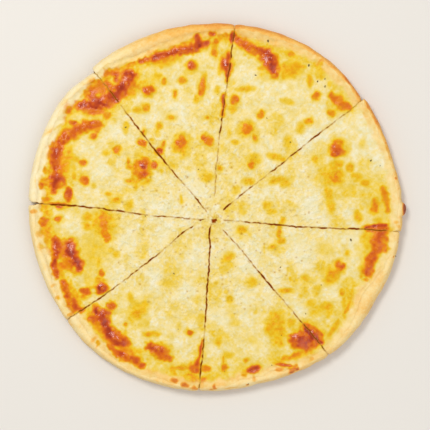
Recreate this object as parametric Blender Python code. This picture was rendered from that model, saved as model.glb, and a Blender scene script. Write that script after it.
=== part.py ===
"""A round cheese pizza, 300 mm across, baked and cut into eight slices that lie together.

The pizza rests on its flat underside at z = 0, with its middle at the origin and its top
along +Z. A slice is two solids: its dough, with the raised rim, and its melted cheese.
Eight knife cuts run out from the hub, where they meet a little off the middle. Lengths
are in metres; the tables below are written in millimetres and scaled by MM.
"""

import math

import bmesh
import bpy
import numpy as np

MM = 0.001

# Driving dimensions
DOUGH_BED = 0.007  # dough under the cheese
RIM_HEIGHT = 0.014  # top of the raised rim
RIM_WAIST = 0.0045  # height where the rim is widest
RIM_CREST_SHARE = 0.45  # the crest's place across the bare rim
RIM_FOOT = 0.005  # how far the rim's inner slope runs on under the cheese
UNDER_ROUND = 0.005  # how far in the rim's rounded lower edge reaches
CHEESE_THICK = 0.004
CHEESE_EDGE = 0.0012  # cheese where it ends on the rim
CHEESE_TAPER = 0.008  # distance over which the cheese thins to its edge
CHEESE_WANDER = 0.0015  # how far the cheese's edge strays in and out
LAYER_GAP = 0.0005  # between dough and cheese
CUT_WIDTH = 0.0009
TIP_WIDTH = 0.0008  # the blunt end of a slice
OPENING_LENGTH = 0.010  # how far in from the rim a wide cut starts to open
CORNER_ROUND = 0.004  # how far from a cut the rim's corner starts to turn in
CORNER_DROP = 0.0008
DRIP_SIZE = (0.011, 0.003)  # length and depth of the baked drip on the rim's wall
DRIP_ANGLE = math.radians(-0.8)  # its bearing from the pizza's middle

# Mesh fineness: rows of a slice from its tip out
CUT_SAMPLES = 240
HUB_REACH = 0.024  # length of the closely spaced rows at the tip
DOUGH_ROWS = (6, 5, 10)  # near the hub, on the flat bed, up and over the rim
CHEESE_ROWS = (5, 16, 4)  # near the hub, over the middle, along the cheese's edge
FLAT_ANGLE = math.radians(0.25)

# Where the cuts meet, and each cut's points from there out to the rim, in mm
HUB = (-1.6, -11.2)
CUTS = {
    "east": [(18.9, -12.0), (53.0, -15.2), (90.0, -17.5), (118.0, -18.4), (150.2, -20.3)],
    "north_east": [(8.0, -1.0), (23.4, 11.7), (48.9, 31.4), (78.4, 55.0), (120.0, 87.0)],
    "north": [(-1.1, 10.0), (-0.2, 24.0), (2.6, 55.0), (7.9, 91.2), (15.9, 149.0)],
    "north_west": [(-10.2, -0.7), (-39.7, 34.1), (-58.6, 57.6), (-74.7, 79.1), (-100.4, 111.5)],
    "west": [(-9.8, -10.8), (-25.0, -9.4), (-45.1, -7.9), (-98.9, -1.0), (-151.8, 3.0)],
    "south_west": [(-9.8, -11.3), (-23.1, -18.5), (-39.7, -32.4), (-88.1, -70.0), (-121.0, -91.8)],
    "south": [(-4.6, -16.5), (-4.8, -31.0), (-6.4, -56.6), (-8.2, -87.4), (-13.9, -149.6)],
    "south_east": [(9.2, -22.6), (26.5, -42.5), (46.2, -66.7), (78.4, -104.2), (92.0, -121.2)],
}
OPENINGS = {"west": 0.0038, "north_west": 0.0008}  # how much wider a cut is at the rim

# Each slice runs counterclockwise from its first cut to its second. The rim's distance
# from the pizza's middle and the bare rim's width are given at the first cut, at each
# quarter of the way and at the second cut, in mm.
SLICES = [
    # first cut, second cut, rim distances, bare rim widths
    ("east", "north_east", (152.0, 150.8, 148.7, 148.2, 149.8), (8.5, 8.5, 8.0, 7.5, 7.5)),
    ("north_east", "north", (146.9, 149.4, 150.3, 149.6, 148.6), (8.0, 8.0, 8.5, 10.0, 8.5)),
    ("north", "north_west", (148.5, 148.6, 149.2, 150.1, 151.0), (8.5, 11.0, 14.5, 14.0, 11.0)),
    ("north_west", "west", (147.4, 152.0, 152.5, 152.5, 152.3), (9.5, 9.5, 11.0, 10.0, 11.0)),
    ("west", "south_west", (152.0, 151.6, 151.2, 151.5, 152.0), (9.0, 9.5, 10.0, 8.5, 8.0)),
    ("south_west", "south", (152.2, 153.8, 153.1, 151.5, 150.2), (13.5, 12.0, 8.0, 9.0, 7.5)),
    ("south", "south_east", (150.0, 148.7, 148.3, 149.6, 151.4), (7.5, 10.0, 11.5, 8.5, 8.0)),
    ("south_east", "east", (151.7, 151.8, 150.2, 151.2, 151.0), (9.5, 12.5, 16.0, 10.5, 8.5)),
]

# Large browned blisters of the cheese, in mm
BLISTERS = [
    # x, y, length, width, turn in degrees, height
    (98.3, 46.3, 14, 13, 0, 1.5),
    (95.0, 24.0, 19, 16, 80, 0.8),
    (134.5, 8.5, 13, 9, 80, 1.0),
    (43.5, 116.5, 20, 14, 75, 1.6),
    (29.0, 125.3, 9, 8, 0, 1.1),
    (58.8, 110.8, 19, 11, 20, 0.8),
    (100.8, 83.4, 10, 8, 30, 1.0),
    (25.0, 62.5, 10, 10, 0, 1.0),
    (8.1, 114.9, 19, 8, 85, 1.1),
    (-10.5, 97.0, 20, 7, 80, 1.0),
    (-19.3, 113.8, 10, 10, 0, 1.2),
    (-23.0, 127.0, 30, 8, 8, 1.4),
    (-47.0, 119.5, 24, 8, 15, 1.3),
    (-55.0, 93.5, 12, 10, 20, 1.2),
    (-72.0, 100.0, 22, 14, 60, 1.7),
    (-27.4, 51.2, 11, 10, 0, 1.0),
    (-92.7, 88.0, 24, 18, 20, 1.7),
    (-105.6, 64.1, 10, 10, 0, 1.1),
    (-121.0, 55.0, 12, 9, 60, 1.2),
    (-129.0, 40.0, 24, 7, 85, 1.4),
    (-127.5, 24.0, 20, 11, 80, 1.5),
    (-58.8, 29.4, 16, 11, 70, 1.3),
    (-115.3, -39.5, 22, 13, 85, 1.7),
    (-129.0, -40.0, 18, 8, 95, 1.4),
    (-91.1, -15.7, 20, 20, 0, 0.7),
    (-121.0, -66.0, 38, 8, 122, 1.4),
    (-92.0, -66.0, 11, 11, 0, 1.3),
    (-91.1, -88.3, 20, 10, 60, 1.5),
    (-79.8, -107.6, 18, 10, 150, 1.5),
    (-67.7, -122.9, 19, 8, 155, 1.3),
    (-43.5, -118.1, 19, 11, 165, 1.3),
    (67.7, -109.2, 16, 16, 0, 1.6),
    (47.6, -97.1, 19, 15, 90, 0.8),
    (131.4, -25.0, 22, 15, 75, 1.6),
    (122.5, -49.0, 14, 12, 90, 1.4),
    (95.0, -53.0, 18, 12, 50, 0.9),
    (79.0, -104.0, 12, 8, 60, 1.1),
]

# Base colours of the two kinds of piece
DOUGH_COLOUR = (0.87, 0.66, 0.36, 1.0)
CHEESE_COLOUR = (0.92, 0.74, 0.30, 1.0)


def clear_scene():
    for obj in list(bpy.data.objects):
        bpy.data.objects.remove(obj, do_unlink=True)


def make_material(name, colour, roughness):
    material = bpy.data.materials.new(name)
    material.use_nodes = True
    shader = material.node_tree.nodes["Principled BSDF"]
    shader.inputs["Base Color"].default_value = colour
    shader.inputs["Roughness"].default_value = roughness
    shader.inputs["Metallic"].default_value = 0.0
    return material


def lumps(x, y, cell, seed):
    """Smooth uneven bumps from -1 to 1, about one to a cell, the same for each seed."""
    size = 64
    heights = np.random.RandomState(seed).uniform(-1.0, 1.0, (size, size))
    u, v = x / cell, y / cell
    i, j = np.floor(u).astype(int), np.floor(v).astype(int)
    s, t = u - i, v - j
    s, t = s * s * (3 - 2 * s), t * t * (3 - 2 * t)
    i0, i1, j0, j1 = i % size, (i + 1) % size, j % size, (j + 1) % size
    low = heights[i0, j0] * (1 - s) + heights[i1, j0] * s
    high = heights[i0, j1] * (1 - s) + heights[i1, j1] * s
    return low * (1 - t) + high * t


def smooth_through(at, values, where):
    """Values at some places, on a smooth curve through the values that are given."""
    at, values = np.asarray(at), np.asarray(values, dtype=float)
    slopes = np.gradient(values, at, axis=0)
    k = np.clip(np.searchsorted(at, where, side="right") - 1, 0, len(at) - 2)
    step = at[k + 1] - at[k]
    u = (where - at[k]) / step
    if values.ndim == 2:
        u, step = u[:, None], step[:, None]
    return (
        (2 * u**3 - 3 * u**2 + 1) * values[k]
        + (u**3 - 2 * u**2 + u) * step * slopes[k]
        + (3 * u**2 - 2 * u**3) * values[k + 1]
        + (u**3 - u**2) * step * slopes[k + 1]
    )


def beside_cut(name, side):
    """The edge that a cut leaves on the slice to its left (side 1) or right (side -1)."""
    points = np.array([HUB, *CUTS[name]]) * MM
    at = np.concatenate([[0.0], np.cumsum(np.hypot(*np.diff(points, axis=0).T))])
    where = np.linspace(0.0, at[-1], CUT_SAMPLES)
    line = smooth_through(at, points, where)
    along = np.gradient(line, axis=0)
    along /= np.hypot(*along.T)[:, None]
    left = np.stack([-along[:, 1], along[:, 0]], axis=1)
    opened = np.clip(1 - (at[-1] - where) / OPENING_LENGTH, 0, 1)
    width = CUT_WIDTH + OPENINGS.get(name, 0.0) * opened**1.5
    return line + left * side * width[:, None] / 2


class SlicePlan:
    """Where a slice lies, seen from above, in polar coordinates about its own tip."""

    def __init__(self, first, second, reach, bare):
        edge_a, edge_b = beside_cut(first, 1), beside_cut(second, -1)
        between = edge_b - edge_a
        ahead = edge_a[:, 0] * between[:, 1] - edge_a[:, 1] * between[:, 0]
        hub = np.array(HUB) * MM
        ahead -= hub[0] * between[:, 1] - hub[1] * between[:, 0]
        apart = np.hypot(between[:, 0], between[:, 1])
        start = int(np.argmax((apart > TIP_WIDTH) & (ahead > 0)))
        self.tip = (edge_a[start] + edge_b[start]) / 2
        outer = (edge_a[-1] + edge_b[-1]) / 2 - self.tip
        self.heading = math.atan2(outer[1], outer[0])
        self.table_a = self.polar(edge_a[start:])
        self.table_b = self.polar(edge_b[start:])
        self.reach, self.bare = np.array(reach) * MM, np.array(bare) * MM

    def polar(self, points):
        """Distances from the tip, and angles from the slice's heading."""
        away = points - self.tip
        angle = np.arctan2(away[:, 1], away[:, 0]) - self.heading
        angle = (angle + math.pi) % (2 * math.pi) - math.pi
        return np.hypot(away[:, 0], away[:, 1]), angle

    def point(self, out, across):
        """x and y at a distance out from the tip, and a share across the slice."""
        first = np.interp(out, *self.table_a)
        second = np.interp(out, *self.table_b)
        angle = self.heading + first + (second - first) * across
        return self.tip[0] + out * np.cos(angle), self.tip[1] + out * np.sin(angle)

    @staticmethod
    def along_rim(values, across):
        return smooth_through(np.linspace(0, 1, len(values)), values, across)

    def distance_to(self, target, across):
        """How far from the tip a line lies that is a given distance from the middle."""
        low, high = 0.5 * target, 1.5 * target
        for _ in range(24):
            middle = (low + high) / 2
            inside = np.hypot(*self.point(middle, across)) < target
            low = np.where(inside, middle, low)
            high = np.where(inside, high, middle)
        return (low + high) / 2

    def round_rim(self, across):
        """Distance from the tip to the rim's outer edge, but for its corners and drip."""
        return self.distance_to(self.along_rim(self.reach, across), across)

    def rim_out(self, across):
        """Distance from the tip to the rim's outer edge."""
        rim = self.round_rim(across)
        wide = (self.table_b[1][-1] - self.table_a[1][-1]) * self.reach[1]
        near = np.minimum(across, 1 - across) * wide
        corner = np.clip(1 - near / CORNER_ROUND, 0, 1)
        x, y = self.point(rim, across)
        off = (np.arctan2(y, x) - DRIP_ANGLE) * self.reach[1] / (DRIP_SIZE[0] / 2)
        drip = np.sqrt(np.clip(1 - off**2, 0, 1))
        return rim - CORNER_DROP * corner**2 + DRIP_SIZE[1] * drip

    def bare_width(self, across):
        """Width of the rim that no cheese covers."""
        return self.along_rim(self.bare, across)

    def cheese_out(self, across):
        """Distance from the tip to the cheese's edge, which strays a little."""
        edge = self.round_rim(across) - self.bare_width(across)
        return edge + CHEESE_WANDER * lumps(*self.point(edge, across), 0.011, 31)


def dough_top(plan, out, across):
    """Height of the dough: the bed, and the rim's inner and outer slopes."""
    x, y = plan.point(out, across)
    bare, round_rim = plan.bare_width(across), plan.round_rim(across)
    crest = bare * RIM_CREST_SHARE
    slope = bare - crest + RIM_FOOT
    beyond = (out - round_rim + crest) / (plan.rim_out(across) - round_rim + crest)
    inset = np.where(beyond < 0, round_rim - out, crest * (1 - beyond))
    peak = RIM_HEIGHT * (1 + 0.06 * lumps(x, y, 0.028, 11))
    outside = np.clip((crest - inset) / crest, 0, 1)
    outer = RIM_WAIST + (peak - RIM_WAIST) * np.sqrt(1 - outside**2)
    down = np.clip((inset - crest) / slope, 0, 1)
    inner = DOUGH_BED + (peak - DOUGH_BED) * (1 + np.cos(math.pi * down)) / 2
    return np.where(inset < crest, outer, inner)


def dough_bottom(inset):
    """Height of the dough's underside: flat, and rounded up to the rim's widest line."""
    turned = np.clip((UNDER_ROUND - inset) / UNDER_ROUND, 0, 1)
    return RIM_WAIST * (1 - np.sqrt(1 - turned**2))


def cheese_relief(x, y):
    """Bumps of the melted cheese, with its large blisters."""
    height = 0.0005 * lumps(x, y, 0.024, 21) + 0.0004 * lumps(x, y, 0.011, 22)
    for cx, cy, length, width, turn, rise in BLISTERS:
        dx, dy = x / MM - cx, y / MM - cy
        c, s = math.cos(math.radians(turn)), math.sin(math.radians(turn))
        along, across = (c * dx + s * dy) / length, (c * dy - s * dx) / width
        height += rise * MM * np.clip(1 - 4 * (along**2 + across**2), 0, 1)
    return height


def wedge_lattice(rows):
    """A flat triangle cut into rows of small triangles, with each vertex's row counted
    from the tip and its share across that row."""
    bm = bmesh.new()
    bmesh.ops.create_circle(bm, cap_ends=True, segments=3, radius=1.0)
    corners = [(*v.co.xy, 1.0) for v in bm.verts]
    bmesh.ops.subdivide_edges(bm, edges=bm.edges[:], cuts=rows - 1, use_grid_fill=True)
    flat = np.array([(*v.co.xy, 1.0) for v in bm.verts])
    weights = np.linalg.solve(np.array(corners).T, flat.T).T
    row = np.round(rows * (1 - weights[:, 0]))
    across = np.round(rows * weights[:, 2]) / np.maximum(row, 1)
    return bm, row, across


def layer_between(name, bm, plan_xy, bottom, top, material, collection):
    """Makes a closed solid of the lattice, between its bottom and top heights."""
    number = bm.verts.layers.int.new("number")
    for i, vertex in enumerate(bm.verts):
        vertex[number] = i
    raised = bmesh.ops.extrude_face_region(bm, geom=bm.faces[:])["geom"]
    upper = {item for item in raised if isinstance(item, bmesh.types.BMVert)}
    for vertex in bm.verts:
        i = vertex[number]
        height = top[i] if vertex in upper else bottom[i]
        vertex.co = (plan_xy[0][i], plan_xy[1][i], height)
    bmesh.ops.remove_doubles(bm, verts=bm.verts[:], dist=1e-6)
    bmesh.ops.recalc_face_normals(bm, faces=bm.faces[:])
    if bm.calc_volume(signed=True) < 0:
        bmesh.ops.reverse_faces(bm, faces=bm.faces[:])
    bmesh.ops.dissolve_limit(
        bm, angle_limit=FLAT_ANGLE, verts=bm.verts[:], edges=bm.edges[:]
    )
    bmesh.ops.triangulate(bm, faces=bm.faces[:])
    mesh = bpy.data.meshes.new(name)
    bm.to_mesh(mesh)
    bm.free()
    mesh.materials.append(material)
    mesh.shade_smooth()
    mesh.set_sharp_from_angle(angle=math.radians(40))
    collection.objects.link(bpy.data.objects.new(name, mesh))


def make_dough(name, plan, material, collection):
    """The dough of a slice: flat bed, and the rim rounded over and under."""
    near_hub, on_bed, on_rim = DOUGH_ROWS
    bm, row, across = wedge_lattice(near_hub + on_bed + on_rim)
    rim = plan.rim_out(across)
    bed_end = plan.round_rim(across) - plan.bare_width(across) - RIM_FOOT
    bed_share = np.clip((row - near_hub) / on_bed, 0, 1)
    rim_share = np.clip((row - near_hub - on_bed) / on_rim, 0, 1)
    out = HUB_REACH * np.minimum(row / near_hub, 1)
    out += (bed_end - HUB_REACH) * bed_share
    out += (rim - bed_end) * np.sin(rim_share * math.pi / 2)
    bottom = dough_bottom(rim - out)
    top = np.where(rim_share < 1, dough_top(plan, out, across), bottom)
    layer_between(name, bm, plan.point(out, across), bottom, top, material, collection)


def make_cheese(name, plan, material, collection):
    """The melted cheese of a slice, which laps a little way up the rim."""
    near_hub, on_middle, on_edge = CHEESE_ROWS
    bm, row, across = wedge_lattice(near_hub + on_middle + on_edge)
    edge = plan.cheese_out(across)
    middle_share = np.clip((row - near_hub) / on_middle, 0, 1)
    edge_share = np.clip((row - near_hub - on_middle) / on_edge, 0, 1)
    out = HUB_REACH * np.minimum(row / near_hub, 1)
    out += (edge - CHEESE_TAPER - HUB_REACH) * middle_share
    out += CHEESE_TAPER * edge_share
    x, y = plan.point(out, across)
    full = np.clip((edge - out) / CHEESE_TAPER, 0, 1)
    full = full * (2 - full)
    bottom = dough_top(plan, out, across) + LAYER_GAP
    thick = CHEESE_EDGE + (CHEESE_THICK - CHEESE_EDGE) * full
    top = bottom + thick + cheese_relief(x, y) * (0.25 + 0.75 * full)
    layer_between(name, bm, (x, y), bottom, top, material, collection)


def main():
    clear_scene()
    collection = bpy.data.collections.new("cheese_pizza")
    bpy.context.scene.collection.children.link(collection)
    dough = make_material("baked_dough", DOUGH_COLOUR, 0.7)
    cheese = make_material("melted_cheese", CHEESE_COLOUR, 0.4)
    for number, slice_row in enumerate(SLICES, 1):
        plan = SlicePlan(*slice_row)
        make_dough(f"dough_{number}", plan, dough, collection)
        make_cheese(f"cheese_{number}", plan, cheese, collection)


main()
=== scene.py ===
"""Looks of a round cheese pizza, 300 mm across, baked and cut into eight slices.

Each slice is two fine meshes in place of its two solids: the dough, with its rim, and the
melted cheese. Browning is a number at each vertex, worked out from the browned spots
listed below, and the materials turn it into colour. Lengths are in metres; the tables are
written in millimetres and scaled by MM.
"""

import math

import bpy
import numpy as np
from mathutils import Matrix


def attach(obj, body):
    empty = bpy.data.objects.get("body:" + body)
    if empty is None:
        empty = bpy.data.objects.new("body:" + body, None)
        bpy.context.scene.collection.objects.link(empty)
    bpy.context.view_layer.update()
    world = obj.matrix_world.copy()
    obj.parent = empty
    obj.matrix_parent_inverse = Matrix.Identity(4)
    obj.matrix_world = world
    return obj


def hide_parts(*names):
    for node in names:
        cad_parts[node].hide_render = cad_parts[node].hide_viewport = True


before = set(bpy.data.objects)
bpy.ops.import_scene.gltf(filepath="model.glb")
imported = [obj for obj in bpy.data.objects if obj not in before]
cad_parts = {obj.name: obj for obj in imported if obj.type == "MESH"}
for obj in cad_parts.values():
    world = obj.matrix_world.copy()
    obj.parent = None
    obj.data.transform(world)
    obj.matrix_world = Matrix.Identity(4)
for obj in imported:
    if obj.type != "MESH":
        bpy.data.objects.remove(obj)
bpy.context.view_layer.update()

MM = 0.001

# The plan and the heights, as in the solids
DOUGH_BED = 0.007  # dough under the cheese
RIM_HEIGHT = 0.014  # top of the raised rim
RIM_WAIST = 0.0045  # height where the rim is widest
RIM_CREST_SHARE = 0.45  # the crest's place across the bare rim
RIM_FOOT = 0.005  # how far the rim's inner slope runs on under the cheese
UNDER_ROUND = 0.005  # how far in the rim's rounded lower edge reaches
CHEESE_THICK = 0.004
CHEESE_TAPER = 0.008  # distance over which the cheese thins to its edge
LAYER_GAP = 0.0005  # between the solids of dough and cheese
TIP_WIDTH = 0.0008  # the blunt end of a slice
OPENING_LENGTH = 0.010  # how far in from the rim a wide cut starts to open
CORNER_ROUND = 0.004  # how far from a cut the rim's corner starts to turn in
CORNER_DROP = 0.0008
DRIP_SIZE = (0.011, 0.003)  # length and depth of the baked drip on the rim's wall
DRIP_ANGLE = math.radians(-0.8)  # its bearing from the pizza's middle

# What the fine meshes add
CUT_WIDTHS = (0.0002, 0.0008)  # narrowest and widest that a knife cut gets
CUT_SAMPLES = 360
CUT_DEPTH = 0.00025  # how deep the dark filling lies in a cut that shows dark: baked juice, with the gap's shade painted into it
MELT_REACH = 0.0006  # how far cheese that melted over a cut spreads to each side
HUB_MELT = (-0.0012, -0.0098, 0.0046)  # x, y and radius of the cheese melted over the hub
LAYER_SEAM = 0.00005  # left between the fine cheese and dough
CHEESE_ROWS = 232  # of small triangles, from a slice's tip to the cheese's edge
UNDER_SHARE = 4  # top rows to each row of the cheese's underside
DOUGH_COLUMNS = 150
DOUGH_ROWS = (8, 28)  # on the flat bed, and up and over the rim
DOUGH_TIP = 0.0004
CUT_FILLET = 0.0007  # how the cheese's edge rounds over into a cut
CHEESE_CREEP = 0.0042  # how far the cheese's thin edge runs up the rim's inner slope
CHEESE_BLEND = (0.0008, 0.0030)  # how softly its top runs into that slope, inside and at its edge
RIM_FILLET = 0.0020  # how the rim rounds over into a cut
SHRED_COUNT = 9000
SHRED_SIZES = ((0.0018, 0.0055), (0.0013, 0.0026), (0.0002, 0.0008))  # length, width, height
PIT_COUNT = 420
PIT_SIZES = ((0.0004, 0.0011), (0.12, 0.5))  # radius, and darkness, which is painted shade
SPOT_HALO = 5  # mm that the faint browning round a spot adds to its size
BUBBLE_COUNT = 2600
BUBBLE_SIZES = ((0.0009, 0.0021), (0.00015, 0.0005))  # radius, height
MAP_STEP = 0.0004
MAP_REACH = 0.160
SHRED_REACH = 0.148  # how far from the middle the shreds, bubbles and strewn specks lie
BUBBLE_REACH = 0.146
SPECK_REACH = 0.140
SHRED_BEND = 30  # largest curvature of a shred
PIT_REACH = 0.085  # from the hub
PIT_DEPTH = 0.0006
PIT_STRETCH = (0.8, 1.6)
CHEESE_CROWDING = 0.05  # how much closer together vertices lie near the cuts
DOUGH_CROWDING = 0.06
SHARP_ANGLE = math.radians(50)  # edges that turn more than this stay sharp
RIM_FILLET_DROP = 0.0016
BARE_BLEND = 0.004  # distance over which the bare rim's relief sets in
CUT_SINK = 0.0005  # how far the cheese's edge sinks at a cut that shows dark
CUT_DARK_REACH = 0.0004  # how far the cut's dark colour, baked juice with painted shade, reaches up beside a cut
THINNEST_CHEESE = 0.00012
LARGE_RELIEF = 0.25  # shares of the relief left at the cheese's thin edge
SMALL_RELIEF = 0.15
BORDER_BLEND = (0.003, 0.2)  # how the cheese's edge takes the crust's colour: width, start
FILLING_START = 0.002  # from the hub to where a cut's filling starts
FILLING_STOPS = {"west": 0.009}  # from the rim, where a cut is wide there
FILLING_STOP = 0.003
FILLING_OVERLAP = 0.0001
FILLING_FOOT = 0.0002  # how far over the dough's bed a filling starts
MELT_RISE = 0.00005  # how far cheese melted over a cut stands up
MELT_ROUND = 0.0003  # and how far its sides round over
HUB_RINGS, HUB_SPOKES = 16, 64
HUB_LAYERS = (0.0002, 0.0006, 0.0012)  # rise of its middle, drop of its edge, depth of its skirt
HUB_DARK_DROP = 0.0001
BROWNED_TOAST = 0.9  # how far the cheese's browning colours the dough beside it
DRIP_DISTANCE = 0.152  # from the middle
DRIP_TOAST = 0.86
DRIP_BAND = 0.004
UNDER_TOAST = 0.46
NEAR = 0.003  # how far away a vertex may lie whose height a place takes
WALL_FROM = 0.05  # least distance from the middle that the rim's wall is worked out for

# Where looks set in: the two values between which each does so and, in rows of three, how
# much it comes to
SHREDS_MELT = (0.07, 0.13, 0.6)  # by distance from the middle
OUTER_GOLD = (0.10, 0.14, 0.055)
SHREDS_BROWN = (0.4, 0.7, 0.8)  # by browning, as are the next four
BROWNED_RISE = (0.45, 0.8, 0.00025)
BUBBLE_BROWNING = (0.4, 0.75)
CUT_DARK_BROWNING = (0.45, 0.85)
BORDER_BROWNING = (0.25, 0.5)
YELLOW_FADE = (0.05, 0.75, 0.15)  # by the lumps that yellower patches follow
PALE_FADE = (1.2, 0.3, 0.75)  # by distance, as a share of a place's size, as are the next six
CORE_FADES = {"patch": (1.75, 0.1), "spot": (1.4, 0.2), "faint spot": (1.75, 0.2)}
HALO_FADES = {"patch": (1.3, 0.2, 0.6), "spot": (1.25, 0.2, 0.56), "faint spot": (1.25, 0.2, 0.56)}
STREAK_FADE = (1.6, 0.2)
PIT_FADE = (1.5, 0.2)
HUB_DARK_FADE = (1.4, 0.5)
DRIP_FADE = (1.3, 0.6)
GOLD_BAND = (0.012, 0.002)  # by distance from the cheese's edge
WALL_BAND = (0.004, 0.0005)  # by distance from the rim's edge
WALL_TOAST = (0.009, 0.004, 0.22)  # by height
TOAST_TURN = (0.1, 0.9)  # by share of the bare rim, from its inner side out
MELTED_SHOWS = (0.35, 0.08)  # by how dark a cut shows
FAINT_SPOT = 0.5
PALE_RAGGED = 0.3
CORE_CURVE = 0.8
SPOT_RAGGED = (0.85, -0.12)  # how ragged a spot's edge is beside a patch's, and an even part
SHRED_LIGHT_AND_SHADE = (0.09, 0.45)  # painted light: how much paler the highest shreds are, and the share left as is; lower ones turn more golden, partly oil and partly painted shade
# painted highlight: how much paler the tops of the baked bubbles are
BUBBLE_HIGHLIGHT = 0.16
PALE_CHEESE = 0.105  # browning of cheese where nothing else is listed

# Smooth random lumps: how high or strong, how large, and the seed that they are drawn with
LUMPS = {
    "rim_height": [(0.06, 0.028, 11)],
    "cheese_top": [(0.0005, 0.024, 21), (0.0004, 0.011, 22)],
    "cheese_edge": [(0.0015, 0.011, 31), (0.0011, 0.004, 32)],
    "cut_strays": [(0.0004, 0.004, 41), (0.00028, 0.0018, 44)],
    "cut_shows": [(0.5, 0.0022, 43)],
    "spot_edges": [(0.24, 0.0026, 51), (0.26, 0.006, 52)],
    "mottling": [(0.09, 0.0045, 53), (0.10, 0.0022, 54)],
    "streak_edges": [(0.35, 0.0025, 61)],
    "toast_and_light": [(0.06, 0.006, 62), (0.04, 0.0022, 63)],
    "ground": [(0.04, 0.010, 71), (0.05, 0.004, 72), (0.05, 0.026, 73), (0.055, 0.0016, 78)],
    "grain_and_highlight": [(0.03, 0.0022, 74)],
    "melt": [(0.00022, 0.0038, 75)],
    "cheese_border": [(0.45, 0.003, 76)],
    "edge_gold": [(0.6, 0.009, 77)],
    "yellow": [(1.0, 0.012, 79), (0.35, 0.0045, 80)],
    "rim_crumbs": [(0.00035, 0.009, 81), (0.00022, 0.0035, 82)],
    "drip": [(0.1, 0.002, 83)],
    "burnt": [(0.16, 0.016, 84), (0.10, 0.005, 85)],
    "rim_wall": [(0.0004, 0.007, 86), (0.0003, 0.018, 87)],
    "hub_edge": [(0.22, 0.55, 91)],
    "hub_dark_edges": [(0.3, 0.0015, 92)],
}

# Where the cuts meet, and each cut's points from there out to the rim, in mm
HUB = (-1.6, -11.2)
CUTS = {
    "east": [(18.9, -12.0), (53.0, -15.2), (90.0, -17.5), (118.0, -18.4), (150.2, -20.3)],
    "north_east": [(8.0, -1.0), (23.4, 11.7), (48.9, 31.4), (78.4, 55.0), (120.0, 87.0)],
    "north": [(-1.1, 10.0), (-0.2, 24.0), (2.6, 55.0), (7.9, 91.2), (15.9, 149.0)],
    "north_west": [(-10.2, -0.7), (-39.7, 34.1), (-58.6, 57.6), (-74.7, 79.1), (-100.4, 111.5)],
    "west": [(-9.8, -10.8), (-25.0, -9.4), (-45.1, -7.9), (-98.9, -1.0), (-151.8, 3.0)],
    "south_west": [(-9.8, -11.3), (-23.1, -18.5), (-39.7, -32.4), (-88.1, -70.0), (-121.0, -91.8)],
    "south": [(-4.6, -16.5), (-4.8, -31.0), (-6.4, -56.6), (-8.2, -87.4), (-13.9, -149.6)],
    "south_east": [(9.2, -22.6), (26.5, -42.5), (46.2, -66.7), (78.4, -104.2), (92.0, -121.2)],
}
OPENINGS = {"west": 0.0038, "north_west": 0.0004}  # how much wider a cut is at the rim

# How dark each cut shows, from 0 where cheese has melted over it to 1 for dark brown:
# distance from the hub in mm, and darkness
CUT_SHOWS = {
    "east": [(6, 0.05), (9, 0.4), (18, 0.35), (26, 0.5), (33, 0.75), (40, 0.65), (47, 0.8),
             (55, 0.75), (60, 0.5), (66, 0.85), (71, 0.7), (77, 0.45), (84, 0.7), (95, 0.75),
             (103, 0.4), (109, 0.55), (115, 0.9), (120, 0.9), (123, 0.5), (132, 0.35),
             (140, 0.25)],
    "north_east": [(10, 0.05), (13, 0.9), (17, 0.7), (22, 0.35), (30, 0.55), (35, 0.3), (40, 0.6),
                   (46, 0.25), (50, 0.45), (60, 0.3), (64, 0.75), (67, 0.4), (72, 0.6), (77, 0.5),
                   (84, 0.6), (90, 0.75), (97, 0.3), (103, 0.6), (107, 0.75), (113, 0.5),
                   (130, 0.35), (143, 0.5), (148, 0.3)],
    "north": [(18, 0.1), (20, 0.3), (30, 0.4), (70, 0.35), (73, 0.7), (78, 0.5), (84, 0.7),
              (88, 0.1), (98, 0.1), (101, 0.35), (106, 0.3), (112, 0.6), (116, 0.1), (130, 0.1),
              (133, 0.8), (142, 0.75), (145, 0.1), (150, 0.1), (152, 0.3)],
    "north_west": [(8, 0.1), (10, 0.6), (20, 0.75), (27, 0.4), (34, 0.3), (43, 0.45), (51, 0.55),
                   (57, 0.6), (63, 0.8), (70, 1.0), (77, 0.7), (85, 0.6), (93, 0.65), (97, 0.8),
                   (110, 0.75), (117, 0.4), (121, 0.1), (138, 0.1), (142, 0.3)],
    "west": [(6, 0.5), (7, 1.0), (10, 1.0), (12, 0.4), (20, 0.5), (27, 0.5), (33, 0.35),
             (39, 0.65), (47, 0.5), (53, 0.2), (58, 0.7), (63, 0.5), (70, 0.3), (76, 0.8),
             (83, 0.5), (90, 0.75), (98, 0.6), (103, 0.9), (108, 0.7), (113, 0.85), (127, 0.95),
             (133, 0.6), (145, 0.6)],
    "south_west": [(14, 0.05), (18, 0.5), (28, 0.8), (33, 0.4), (50, 0.35), (56, 0.6), (60, 0.9),
                   (66, 0.5), (75, 0.6), (83, 0.5), (90, 0.3), (105, 0.6), (113, 0.75), (130, 0.7),
                   (140, 0.4)],
    "south": [(3, 0.6), (8, 0.85), (13, 0.9), (20, 0.75), (33, 0.75), (38, 0.7), (42, 1.0),
              (47, 0.8), (53, 0.85), (60, 0.6), (73, 0.7), (80, 0.6), (88, 0.35), (95, 0.4),
              (99, 0.9), (105, 0.85), (113, 0.6), (125, 0.85), (130, 0.35)],
    "south_east": [(8, 0.05), (11, 0.45), (33, 0.45), (38, 0.5), (47, 0.5), (53, 0.65), (60, 0.8),
                   (66, 0.9), (72, 0.8), (80, 0.4), (87, 0.5), (95, 0.3), (107, 0.6), (112, 0.7),
                   (117, 0.1), (129, 0.1), (133, 0.5), (136, 0.5), (139, 0.1)],
}

# Dark places where cheese melted over the hub, in mm
HUB_DARK_PLACES = [
    # x, y, length, width, turn in degrees, darkness
    (-1.4, -11.7, 5.4, 3.2, 12, 1.0),
    (1.2, -8.3, 3.6, 1.0, 60, 0.4),
    (-3.4, -8.0, 2.4, 0.9, 120, 0.3),
]

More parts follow.
